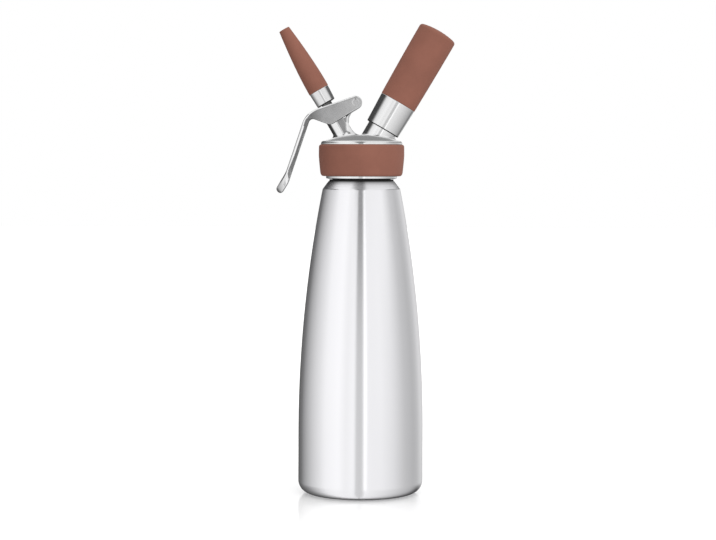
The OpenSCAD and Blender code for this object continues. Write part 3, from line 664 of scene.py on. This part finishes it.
def dome_foot(place, r, fillet, angle, steps):
    """Points of a fillet between a leaning rod and the dome, from inside the dome up to the rod.
    They are in the rod's own frame, in millimetres."""
    centre = place.inverted() @ (DOME_CENTRE * MM) / MM
    side = Vector((math.cos(angle), math.sin(angle), 0))
    ball = side * (r + fillet)
    across = (ball - Vector((centre.x, centre.y, 0))).length
    ball.z = centre.z + math.sqrt((DOME_R + fillet) ** 2 - across ** 2)
    down = (centre - ball).normalized()
    points = [ball + down * (fillet + OVERLAP)]
    for k in range(steps + 1):
        points.append(ball + fillet * down.slerp(-side, k / steps))
    return points


def leaning_rod(name, place, radius, fillet, top, segments=128, steps=8):
    """A rod that grows out of the dome with a fillet. radius(angle) is its size at the foot,
    fillet(angle) the fillet's radius, and top(angle) the rest of its outline, as (radius, height) points."""
    verts = []
    for k in range(segments):
        angle = 2 * math.pi * k / segments
        verts += dome_foot(place, radius(angle), fillet(angle), angle, steps)
        for reach, height in top(angle):
            verts.append(Vector((reach * math.cos(angle), reach * math.sin(angle), height)))
    return piece(name, verts, band_faces(segments, len(verts) // segments, closed=True), place)


def barrel_radius(angle, s):
    """The barrel is round on the lever arm's side. Towards the pivot it has flat sides, which are wider
    higher up, and a flat back."""
    across, deep = math.cos(angle), abs(math.sin(angle))
    if across <= 0:
        return BARREL_R
    flat = FLAT_FOOT_W + (FLAT_TOP_W - FLAT_FOOT_W) * ease((s - FLAT_FOOT) / (FLAT_FULL - FLAT_FOOT))
    if BARREL_R * across <= flat * deep:
        return BARREL_R / deep
    reach = flat * across + math.sqrt(BARREL_R ** 2 - (flat * deep) ** 2)
    return min(reach, FLAT_BACK / across)


def barrel():
    def fillet(angle):
        return BARREL_FILLET + (BARREL_BACK_FILLET - BARREL_FILLET) * ease(math.cos(angle))

    def top(angle):
        heights = np.linspace(FLAT_FOOT + FLAT_MARGIN, BARREL_TOP - BARREL_RIM_H, 14)
        side = [(barrel_radius(angle, s), s) for s in heights]
        return side + rounded([
            side[-1],
            (side[-1][0], BARREL_TOP, BARREL_EDGE),
            (SPRING_POCKET_R, BARREL_TOP, SPRING_POCKET_EDGE),
            (SPRING_POCKET_R, BARREL_TOP - SPRING_POCKET),
            (STEM_R + SLIDING, BARREL_TOP - SPRING_POCKET), (STEM_R + SLIDING, SEAT_S + OVERLAP),
        ], 5, closed=False)[1:]

    return leaning_rod("barrel", VALVE_AXIS, lambda angle: barrel_radius(angle, FLAT_FOOT), fillet, top)


def boss():
    root = BOSS_R - BOSS_THREAD
    collar = HOLDER_S + BOSS_COLLAR_H
    outline = [(BOSS_R, collar), (root, collar + BOSS_CHAMFER_H)]
    foot = HOLDER_S + BOSS_THREAD_FOOT
    for i in range(int((BOSS_TOP - BOSS_RUNOUT - foot) / BOSS_PITCH)):
        for r, share in ((root, 0), (BOSS_R, 0.3), (BOSS_R, 0.5), (root, 0.8)):
            outline.append((r, foot + (i + share) * BOSS_PITCH))
    outline += rounded([
        (root, BOSS_TOP - BOSS_PITCH), (root, BOSS_TOP, BOSS_EDGE),
        (CHARGER_SEAT_R, BOSS_TOP, CHARGER_SEAT_EDGE), (CHARGER_SEAT_R, CHARGER_SEAT_FOOT),
        (GAS_WAY_R, CHARGER_SEAT_FOOT), (GAS_WAY_R, SEAT_S + OVERLAP),
    ], 4, closed=False)
    return leaning_rod("boss", CHARGER_AXIS, lambda _: BOSS_R, lambda _: BOSS_FILLET, lambda _: outline)


def slab(name, outline, half_width, edge, steps=5):
    """A plate in the plane of the valve axis with rounded rims on both faces.
    The outline runs anticlockwise in (p, s)."""
    points = np.array(outline)
    ahead = np.roll(points, -1, 0) - points
    behind = points - np.roll(points, 1, 0)
    forward = [unit(unit(a) + unit(b)) for a, b in zip(ahead, behind)]
    inward = np.array([(-t[1], t[0]) for t in forward])
    verts = []
    for k in range(-steps, steps + 1):
        cos, sin = heading(90 * abs(k) / steps)
        y = math.copysign(half_width - edge * (1 - sin), k) if k else 0
        verts += [(p, y, s) for p, s in points + inward * edge * (1 - cos)]
    return piece(name, verts, tube_faces(2 * steps + 1, len(points)), VALVE_AXIS)


def bracket():
    """The arm beside the barrel that carries the lever's pivot, and the lug at its end."""
    lug_r, lug_w = LEVER_END_R - LUG_INSET, FORK_GAP / 2 - LOOSE
    p, s = PIVOT
    arm = slab("bracket", rounded([
        (1, BARREL_TOP - 9.5), (6.8, BARREL_TOP - 9.5, 3), (9.8, BARREL_TOP - 5, 5),
        (p - 6, s - lug_r - 0.4, 5), (p, s - lug_r + 0.3), (p + lug_r - 1.2, s - 1, 2.6),
        (p + lug_r - 1.4, s + 1.5, 2.6), (p - 1, s + lug_r - 0.3, 2.6),
        (BARREL_R + 1.2, BARREL_TOP - 1.5, 2), (1, BARREL_TOP - 1.6),
    ], 6), BARREL_R - SNUG, FLAT_EDGE)
    side = [(0, -lug_w), (lug_r, -lug_w, LUG_EDGE), (lug_r, lug_w, LUG_EDGE), (0, lug_w)]
    lug = lathe_mesh(rounded(side, 4, closed=False), 64)
    return arm, piece("lug", *lug, across_valve(p, s))


# Faces turned to the side by more than this, and this far across the axis, are the bracket's flat sides,
# which get a darker steel as painted shade
BRACKET_FACING, BRACKET_P = 0.985, 0.5


def make_head():
    head = join(head_body(), barrel(), boss(), *bracket())
    weigh_normals(head)
    dress(head, "head", CAST_STEEL, "head_casting")
    # The bracket's flat sides get the painted shade
    head.data.materials.append(BRACKET_SHADE_STEEL)
    to_axis = VALVE_AXIS.inverted()
    for face in head.data.polygons:
        p, _, s = (to_axis @ face.center) / MM
        on_bracket = p > BRACKET_P and FLAT_FOOT - FLAT_MARGIN < s < BARREL_TOP
        face.material_index = int(on_bracket and abs(face.normal.y) > BRACKET_FACING)


make_head()


def make_grip_band():
    foot, top = SKIRT_Z + LOWER_RIM_H + SNUG, FLANGE_Z - SNUG
    height = top - foot
    belly = BAND_BELLY * height

    def at(share, rise):
        """A point at a share of the band's thickness and a height over its foot."""
        return np.array((SKIRT_R + share * BAND_T, foot + rise))

    outline = [(SKIRT_R + SNUG, foot + BAND_EDGE), (SKIRT_R + BAND_EDGE, foot)]
    outline += curve((SKIRT_R + BAND_FOOT_W, foot), at(0.62, 0.1), at(0.72, 2.6), 14)
    outline += curve(at(0.735, 3.2), at(0.94, belly - 5), at(1, belly), 20)[1:]
    outline += corner(at(1, belly), at(0.97, height), at(0, height), BAND_CORNER, 10)
    outline += [(SKIRT_R + BAND_EDGE, top), (SKIRT_R + SNUG, top - BAND_EDGE)]
    band = lathe("grip_band_skin", outline, UPRIGHT, 192)
    dress(band, "head", GRIP_SILICONE, "grip_band")


make_grip_band()


# Lever

def stretches(points, corners):
    """Straight stretches and rounded corners in turn along a line of points. A corner is (radius, steps)."""
    made, last = [], points[0]
    for i, (r, steps) in enumerate(corners):
        bend = corner(*points[i:i + 3], r, steps)
        made += [[last, bend[0]], bend]
        last = bend[-1]
    return made


def lever_chains():
    """The lever's upper and lower edges in the side view, both from its round end to the tip of its arm,
    as lists of stretches that face each other."""
    web_angle = 180 - WEB_SLOPE
    arm_angle = web_angle + BEND_ANGLE
    flare_dir = arm_angle - FLARE_ANGLE
    web_end = PIVOT + LEVER_END_R * heading(web_angle - 90)
    bend = web_end + WEB_LEN * heading(web_angle)
    flare = bend + ARM_LEN * heading(arm_angle)
    end = flare + FLARE_LEN * heading(flare_dir)
    arm_in, flare_in = heading(arm_angle + 90), heading(flare_dir + 90)
    inner_flare = meet(flare + ARM_T * arm_in, arm_angle, flare + FLARE_T * flare_in, flare_dir)
    inner_end = end + FLARE_T * flare_in
    inner_bend = meet(bend + ARM_T * arm_in, arm_angle, CHEEK_FOOT, CHEEK_LEAN)
    pivot_foot = PIVOT + LEVER_END_R * heading(-90)
    tip = (end + inner_end) / 2

    (start, stop), *upper = stretches([web_end, bend, flare, end, inner_end],
                                      [(BEND_R, 24), (FLARE_R, 16), (FLARE_END_R, 12)])
    web_mid = start + WEB_SHARE * (stop - start)
    upper = [arc(PIVOT, LEVER_END_R, 0, web_angle - 90, 20), [start, web_mid], [web_mid, stop], *upper]
    under, foot, (start, stop), inner, *lower = stretches(
        [pivot_foot, CHEEK_FOOT, inner_bend, inner_flare, inner_end, end],
        [(CHEEK_FOOT_R, 16), (INNER_BEND_R, 16), (INNER_FLARE_R, 16), (INNER_END_R, 12)])
    cheek_mid = start + CHEEK_SHARE * (stop - start)
    lower = [arc(PIVOT, LEVER_END_R, 0, -90, 20), under, foot + [cheek_mid], [cheek_mid] + inner, *lower]
    upper[-1].append(tip)
    lower[-1].append(tip)
    return upper, lower


def along(points, count):
    """Points at even distances along a line of points, without the last."""
    points = np.array(points)
    walked = np.concatenate(([0], np.cumsum(np.linalg.norm(np.diff(points, axis=0), axis=1))))
    at = np.linspace(0, walked[-1], count, endpoint=False)
    return np.column_stack([np.interp(at, walked, points[:, i]) for i in (0, 1)])


def change(p, stretch):
    """How far a change along the lever has come at p, from 0 to 1."""
    start, length = stretch
    return ease((start - p) / length)


def lever_half_width(p, tip_p):
    """Half the lever's width: the fork narrows to the arm, and the arm swells to a rounded paddle."""
    half = LEVER_W / 2 + (ARM_W - LEVER_W) / 2 * change(p, NARROWING)
    half += (FLARE_W - ARM_W) / 2 * change(p, SWELLING)
    room = max(p - tip_p, 0)
    if room < TIP_REACH:
        half *= math.sqrt(max(1 - ((TIP_REACH - room) / TIP_REACH) ** TIP_POWER, TIP_LEAST))
    return half


def lever_section(top, foot, half, crown, paddle, steps=7):
    """A closed section between an upper and a lower point: flat sides, a crowned top and rounded edges.
    crown is how round the top is, from 0 to 1, and paddle how far the rounding takes up the side."""
    depth = np.linalg.norm(foot - top)
    down = (foot - top) / max(depth, TINY)
    # The rounding takes no more than a share of the section's half width and depth
    big = min(UPPER_EDGE + crown * CROWN_ACROSS, half * 0.95)
    tall = min(UPPER_EDGE + crown * CROWN_DOWN, depth * (0.5 + 0.14 * crown + 0.16 * paddle))
    small = min(LOWER_EDGE, depth * (0.1 + 0.1 * paddle), half * 0.5)
    quarter = [heading(90 * k / steps) for k in range(steps + 1)]
    ring = [(half - big * (1 - sin), tall * (1 - cos)) for cos, sin in quarter]
    ring += [(half - small * (1 - cos), depth - small * (1 - sin)) for cos, sin in quarter]
    ring += [(-y, u) for y, u in ring[::-1]]
    return [(*(top + down * u), y) for y, u in ring]


def lever_body():
    upper, lower = lever_chains()
    rows = (16, 18, 12, 26, 30, 14, 10, 14)
    tops = np.vstack([along(stretch, n) for stretch, n in zip(upper, rows)])
    feet = np.vstack([along(stretch, n) for stretch, n in zip(lower, rows)])
    tip_p = min(tops[:, 0].min(), feet[:, 0].min())
    verts = []
    for top, foot in zip(tops[1:], feet[1:]):
        mid_p = (top[0] + foot[0]) / 2
        half = lever_half_width(mid_p, tip_p)
        section = lever_section(top, foot, half, change(mid_p, CROWNING), change(mid_p, PADDLING))
        verts += [(p, y, s) for p, s, y in section]
    rings = len(tops) - 1
    return piece("lever_arm", verts, tube_faces(rings, len(verts) // rings), VALVE_AXIS)


def eye_cutter():
    """The oval way through the lever for the stem, which shifts as the lever swings."""
    eye = arc((EYE_SLIDE, 0), EYE_R, -90, 90) + arc((0, 0), EYE_R, 90, 270)
    return prism("eye", eye, CUT_EYE_S, CUT_TOP_S, across_valve(0, 0))


# The lever's sides and lower edges get a duller and darker steel than its top, up to the polished end of its
# arm. The finish is duller, and the darker tone is painted shade.
PADDLE_X = -55.5
SIDE_FACING, EDGE_FACING, EDGE_FALL = 0.96, 0.4, -0.12


def make_lever():
    lever = lever_body()
    fall = math.tan(math.radians(WEB_SLOPE))
    web_end = PIVOT + LEVER_END_R * heading(90 - WEB_SLOPE)
    under = web_end[1] + web_end[0] * fall - WEB_T / math.cos(math.radians(WEB_SLOPE))
    far = PIVOT[0] + 3 * LEVER_END_R
    pocket = rounded([
        (-POCKET_P, CUT_FOOT_S),
        (-POCKET_P, under + POCKET_P * fall, POCKET_CORNER),
        (FORK_OPEN_P, under - FORK_OPEN_P * fall, FORK_EDGE),
        (FORK_OPEN_P, CUT_TOP_S), (far, CUT_TOP_S), (far, CUT_FOOT_S),
    ], 6)
    cut(lever,
        prism("fork", pocket, -FORK_GAP / 2, FORK_GAP / 2, VALVE_AXIS),
        rod("pin_hole", PIVOT_R + SLIDING, -LEVER_W, LEVER_W, across_valve(*PIVOT), 48),
        eye_cutter())
    reach = FORK_GAP / 2 + OVERLAP
    nose = rod("nose", NOSE_R, -reach, reach, across_valve(0, NOSE_S), 48)
    cut(nose, eye_cutter())
    join(lever, nose)
    weigh_normals(lever)
    dress(lever, "lever", LEVER_STEEL, "lever")
    # Sides and downward edges get the darker steel, as painted shade
    lever.data.materials.append(CHEEK_DULL_SHADE_STEEL)
    for face in lever.data.polygons:
        flat = abs(face.normal.y) > SIDE_FACING
        lower_edge = abs(face.normal.y) > EDGE_FACING and face.normal.z < EDGE_FALL
        face.material_index = int((flat or lower_edge) and face.center.x > PADDLE_X * MM)


make_lever()


# Spout

def sleeve_foot(bore_r, r, low):
    """The underside of a sleeve and its rounded edge."""
    return [(bore_r, low), (r - SLEEVE_EDGE, low), (r - SLEEVE_EDGE_MID, low + SLEEVE_EDGE_MID)]


def make_spout():
    tenon_end = SPOUT_S + TENON_LEN
    foot = lathe("spout_ferrule", rounded([
        (STEM_R + LOOSE, FERRULE_S, MOUTH_EDGE),
        (FERRULE_FOOT_R, FERRULE_S, FOOT_EDGE),
        (SPOUT_R - FERRULE_INSET, SPOUT_S, SEAM_EDGE),
        (TENON_R, SPOUT_S), (TENON_R, tenon_end),
        (TENON_BORE_R, tenon_end), (TENON_BORE_R, SPOUT_S + TENON_FLOOR),
        (FERRULE_BORE_R, SPOUT_S + TENON_FLOOR), (FERRULE_BORE_R, FERRULE_S + FERRULE_MOUTH_H),
        (STEM_R + LOOSE, FERRULE_S + FERRULE_MOUTH_H),
    ], 5), VALVE_AXIS, 128)
    dress(foot, "spout", FERRULE_STEEL, "tip_ferrule")
    # A painted shadow line round the ferrule's foot
    foot_shadow_ring(foot, VALVE_AXIS, FERRULE_S + FOOT_EDGE)

    low, bore_r = SPOUT_S + SNUG, TENON_R + SNUG
    outline = sleeve_foot(bore_r, SPOUT_R, low)
    outline += curve((SPOUT_R, low + SLEEVE_EDGE), (SPOUT_R, low + SPOUT_BEND * (SPOUT_END_S - low)),
                     (SPOUT_END_R, SPOUT_END_S - SPOUT_END_EDGE), 40)
    outline += [
        (SPOUT_END_R - 0.1, SPOUT_END_S - 0.08), (SPOUT_END_R - SPOUT_END_LIP, SPOUT_END_S),
        (SPOUT_BORE_R + SPOUT_END_EDGE, SPOUT_END_S), (SPOUT_BORE_R, SPOUT_END_S - SPOUT_END_EDGE),
        (SPOUT_BORE_R, tenon_end + SLIDING), (bore_r, tenon_end + SLIDING),
    ]
    sleeve = lathe("spout_sleeve", outline, VALVE_AXIS, 128)
    dress(sleeve, "spout", SPOUT_SILICONE, "tip_sleeve")


make_spout()


# Charger holder

def make_holder():
    cup = lathe("holder_cup", rounded([
        (BOSS_R + LOOSE, HOLDER_S, MOUTH_EDGE),
        (HOLDER_FOOT_R, HOLDER_S, FOOT_EDGE),
        (HOLDER_MID_R - HOLDER_INSET, SLEEVE_S, SEAM_EDGE),
        (CUP_R, SLEEVE_S), (CUP_R, CUP_END_S, CUP_CORNER),
        (0, CUP_END_S), (0, CUP_FLOOR_S),
        (CUP_BORE_R, CUP_FLOOR_S, CUP_BORE_CORNER),
        (CUP_BORE_R, BOSS_TOP + LOOSE), (BOSS_R + LOOSE, BOSS_TOP + LOOSE),
    ], 6), CHARGER_AXIS, 160)
    dress(cup, "holder", HOLDER_STEEL, "holder_shell")
    # A painted shadow line round the cup's foot
    foot_shadow_ring(cup, CHARGER_AXIS, HOLDER_S + FOOT_EDGE)

    low = SLEEVE_S + SNUG
    crown_s = SLEEVE_END_S - SLEEVE_CROWN
    side_end, crown_end = np.array((HOLDER_END_R, crown_s)), np.array((HOLDER_END_R / 2, SLEEVE_END_S))
    edge = corner(np.array((HOLDER_END_R, low)), side_end, crown_end, SLEEVE_CORNER, 14)
    outline = sleeve_foot(CUP_R + SNUG, HOLDER_MID_R, low)
    outline += curve((HOLDER_MID_R, low + SLEEVE_EDGE),
                     (HOLDER_END_R, low + SLEEVE_BEND * (SLEEVE_END_S - low)),
                     (HOLDER_END_R, crown_s - SLEEVE_CORNER), 40)
    outline += edge + curve(edge[-1], crown_end, (0, SLEEVE_END_S))[1:]
    outline += [(0, CUP_END_S + SNUG), (CUP_R + SNUG, CUP_END_S + SNUG)]
    sleeve = lathe("holder_grip", outline, CHARGER_AXIS, 160)
    dress(sleeve, "holder", SLEEVE_SILICONE, "holder_sleeve")


make_holder()


# Valve spring

def make_spring():
    """A coil whose wire is swept along a helix."""
    per_turn, sides = 32, 10
    count = per_turn * SPRING_TURNS
    wire_r, mid_r = SPRING_WIRE / 2, (SPRING_POCKET_R + STEM_R) / 2
    foot, top = SPRING_FLOOR + wire_r + SNUG, COLLAR_FOOT - wire_r - SNUG
    verts = []
    for i in range(count + 1):
        turn = heading(360 * i / per_turn)
        rise = foot + (top - foot) * i / count
        for k in range(sides):
            out, up = wire_r * heading(360 * k / sides)
            verts.append((*(turn * (mid_r + out)), rise + up))
    spring = piece("spring_coil", verts, tube_faces(count + 1, sides), VALVE_AXIS)
    dress(spring, "head", PIN_STEEL, "valve_spring")
    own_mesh(spring)


make_spring()


# Small parts keep their solids and get their finish

for finish, names in (
    (PIN_STEEL, ("lever_pin", "pin_clip", "press_collar", "valve_retainer", "piercing_pin", "gas_charger")),
    # The stem is painted near black as shade under the ferrule
    (STEM_SHADOW_STEEL, ("valve_stem",)),
    (BRASS, ("pin_carrier",)),
    (SEAL_SILICONE, ("head_gasket", "stem_seal", "valve_disc", "tip_seal", "charger_seal", "check_valve")),
):
    for name in names:
        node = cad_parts[name]
        node.data.materials.clear()
        node.data.materials.append(finish)
        node.visible_glossy = False


# Stage, light and camera

# The table, in metres: its half width, how far it is below the part, and where its polish fades
FLOOR_HALF, FLOOR_DROP = 6.0, 0.0004
FLOOR_GLOW, FLOOR_POLISH, FLOOR_FADE, FLOOR_GLOSS = 0.22, 0.35, (0.05, 0.22), 0.1
WHITE = (1, 1, 1, 1)


def make_floor():
    """A white table whose polish shows only round the object."""
    mesh = bpy.data.meshes.new("floor")
    corners = [(x * FLOOR_HALF, y * FLOOR_HALF, 0) for x, y in ((-1, -1), (1, -1), (1, 1), (-1, 1))]
    mesh.from_pydata(corners, [], [(0, 1, 2, 3)])
    floor = add_object("floor", mesh)
    floor.location.z = -FLOOR_DROP
    made, tree, shader = material("floor_white", (0.95, 0.95, 0.95), 1.0)
    fill(tree, shader, {"Specular IOR Level": 0.0, "Emission Color": WHITE, "Emission Strength": FLOOR_GLOW})
    gloss = add_node(tree, "BsdfGlossy", {"Color": WHITE, "Roughness": FLOOR_GLOSS})
    polish = spread(tree, length_of(tree, object_place(tree)), FLOOR_FADE, (FLOOR_POLISH, 0.0))
    mixed = add_node(tree, "MixShader", {0: polish, 1: shader.outputs[0], 2: gloss.outputs[0]})
    tree.links.new(mixed.outputs[0], tree.nodes["Material Output"].inputs["Surface"])
    mesh.materials.append(made)
    floor.visible_glossy = False
    floor.visible_diffuse = False


make_floor()

# Brightness of the studio that metal mirrors, in rings at several heights, as stops of (azimuth, level).
# Azimuth is in degrees, 0 towards the camera and 90 to the right. A grey card and a strip light are in front.
HORIZON = [
    (-180, 0.1), (-164, 0.1), (-140, 0.18), (-118, 0.46), (-97, 0.71), (-67, 1.01), (-40, 1.08), (-26, 0.95),
    (-11, 1.05), (-8, 0.66), (4, 0.66), (6.2, 1.35), (9.2, 1.35), (12, 0.94), (37, 0.97), (60, 0.84),
    (88, 0.58), (112, 0.5), (126, 0.57), (142, 0.72), (164, 0.7), (172, 0.15), (180, 0.1),
]
CEILING = [
    (-180, 0.5), (-156, 0.6), (-132, 0.8), (-90, 0.9), (-55, 0.95), (-24, 0.98), (-15, 0.25), (6, 0.25),
    (14, 0.9), (50, 0.86), (90, 0.82), (140, 0.8), (165, 0.7), (180, 0.5),
]
TOP = [
    (-180, 0.85), (-140, 0.95), (-90, 1.0), (-24, 1.0), (-15, 0.25), (6, 0.25), (14, 0.9), (60, 0.86),
    (110, 0.82), (150, 0.82), (180, 0.85),
]
ZENITH = [
    (-180, 0.9), (-140, 0.98), (-58, 1.0), (-42, 0.25), (18, 0.25), (34, 0.82), (110, 0.82), (180, 0.85),
]
TABLE = [
    (-180, 0.05), (-140, 0.13), (-112, 0.26), (-89, 0.5), (-76, 0.68), (-60, 0.92), (-40, 1.0), (-26, 0.95),
    (-11, 1.0), (-8, 0.66), (4, 0.66), (6.2, 1.02), (9.2, 1.02), (12, 0.94), (37, 0.83), (80, 0.58),
    (112, 0.42), (140, 0.1), (180, 0.04),
]
# The table's ring is seen from nearer the camera, the lower the more
TABLE_NEARER = 0.35

# Black flags stand on both sides. Their feet and tops are slopes, which are height over reach to the side.
FLAG_LEFT, FLAG_RIGHT = 0.06, 0.14
FLAG_FOOT, FLAG_TOP_LEFT, FLAG_TOP_RIGHT = (0.4, 0.5), (1.0, 0.9), (0.8, 0.68)
FLAG_FRONT, FLAG_SPLAY = (-0.25, 0.25), 0.08
LEAST_REACH = 0.02
LEFT_TO_RIGHT = (-0.1, 0.1)

# The back wall is white up to a height and grey above it.
# The grey runs from left to right through the shares in BACK, over so much of x to either side.
BACK = [(0.0, 0.4), (0.3, 0.32), (0.5, 0.28), (0.7, 0.3), (1.0, 0.45)]
BACK_REACH, BACK_RISE = 0.3, (0.18, 0.32)
BACK_DEPTH, BACK_SLOPE, BACK_FOOT, BACK_TOP = (0.4, 0.55), (1.1, 1.7), (0.04, 0.09), (0.74, 0.68)

# Soft light on matte surfaces: an even room, panels in front and behind, one overhead and a weak side light
ROOM = 0.63
PANELS, PANELS_SIDE = 0.6, (0.12, -0.98, 0.15)
OVERHEAD = 0.5
SIDE, SIDE_FROM = 0.35, (0.9, -0.4, 0.2)


def high_share(angle):
    """Higher up the card in front is darker and the right side lighter than on the horizon."""
    return 0.25 if -8 <= angle <= 4 else 1.25 if 60 <= angle <= 140 else 1


# The heights between which each ring takes over from what is nearer the horizon
RINGS = [
    (0.1, 0.34, [(angle, level * high_share(angle)) for angle, level in HORIZON]),
    (0.34, 0.5, CEILING),
    (0.58, 0.72, TOP),
    (0.8, 0.9, ZENITH),
    (-0.1, -0.4, TABLE),
]


def make_world():
    world = bpy.data.worlds.new("studio")
    world.use_nodes = True
    tree = world.node_tree
    tree.nodes.clear()
    place = add_node(tree, "TexCoord", {}).outputs["Generated"]
    x, y, z = add_node(tree, "SeparateXYZ", {0: place}).outputs

    def share(value, low, high):
        """How far a value has come from low to high, eased, from 0 to 1."""
        sockets = {"Value": value, "From Min": low, "From Max": high}
        return add_node(tree, "MapRange", sockets, interpolation_type="SMOOTHSTEP").outputs["Result"]

    def product(*values):
        total = values[0]
        for value in values[1:]:
            total = calc(tree, "MULTIPLY", total, value)
        return total

    def scaled_sum(value, factor, rest):
        return calc(tree, "MULTIPLY_ADD", value, factor, rest)

    def blend(factor, a, b):
        return add_node(tree, "Mix", {"Factor": factor, "A": a, "B": b}).outputs["Result"]

    def towards(direction):
        sockets = {0: place, 1: direction}
        return add_node(tree, "VectorMath", sockets, operation="DOT_PRODUCT").outputs["Value"]

    def panorama(stops):
        return grey_ramp(tree, azimuth, [((angle + 180) / 360, level) for angle, level in stops])

    below = calc(tree, "MAXIMUM", product(z, -1.0), 0.0)
    around = calc(tree, "ARCTAN2", x, scaled_sum(below, TABLE_NEARER, product(y, -1.0)))
    azimuth = scaled_sum(around, 1 / (2 * math.pi), 0.5)
    mirrored = panorama(HORIZON)
    for low, high, stops in RINGS:
        mirrored = blend(share(z, low, high), mirrored, panorama(stops))

    side = calc(tree, "ABSOLUTE", x)
    slope = calc(tree, "DIVIDE", z, calc(tree, "MAXIMUM", side, LEAST_REACH))
    right = share(x, *LEFT_TO_RIGHT)
    flag_top = blend(right, share(slope, *FLAG_TOP_LEFT), share(slope, *FLAG_TOP_RIGHT))
    beside = share(scaled_sum(side, FLAG_SPLAY, y), *FLAG_FRONT)
    flag = product(share(slope, *FLAG_FOOT), flag_top, beside)
    mirrored = blend(flag, mirrored, blend(right, FLAG_LEFT, FLAG_RIGHT))

    greys = grey_ramp(tree, scaled_sum(x, 0.5 / BACK_REACH, 0.5), BACK)
    wall = blend(share(z, *BACK_RISE), 1.0, greys)
    rise = product(share(z, *BACK_FOOT), share(z, *BACK_TOP))
    behind = product(share(y, *BACK_DEPTH), share(slope, *BACK_SLOPE), rise)
    mirrored = blend(behind, mirrored, wall)

    facing = towards(PANELS_SIDE)
    up = calc(tree, "MAXIMUM", z, 0.0)
    matte = scaled_sum(product(facing, facing), PANELS, ROOM)
    matte = scaled_sum(product(up, up), OVERHEAD, matte)
    matte = calc(tree, "MAXIMUM", scaled_sum(towards(SIDE_FROM), SIDE, matte), 0.0)

    path = add_node(tree, "LightPath", {})
    light = blend(path.outputs["Is Glossy Ray"], matte, mirrored)
    light = blend(path.outputs["Is Camera Ray"], light, 1.0)
    shine = add_node(tree, "Background", {"Color": WHITE, "Strength": light})
    add_node(tree, "OutputWorld", {"Surface": shine.outputs[0]})
    bpy.context.scene.world = world


make_world()


def make_camera():
    aim_z = (BASE_PY - IMAGE_H / 2) * PIXEL_MM
    aim_x = (IMAGE_W / 2 - AXIS_PX) * PIXEL_MM
    camera = add_object("camera", bpy.data.cameras.new("camera"))
    camera.location = Vector((aim_x, -CAMERA_DISTANCE, CAMERA_HEIGHT)) * MM
    look = Vector((aim_x, 0, aim_z)) * MM - camera.location
    camera.rotation_euler = (look.to_track_quat("-Z", "Y") @ Quaternion((0, 0, 1), CAMERA_ROLL)).to_euler()
    camera.data.lens = look.length / (PIXEL_MM * MM) * camera.data.sensor_width / IMAGE_W
    bpy.context.scene.camera = camera


make_camera()
bpy.context.scene.view_settings.view_transform = "Standard"
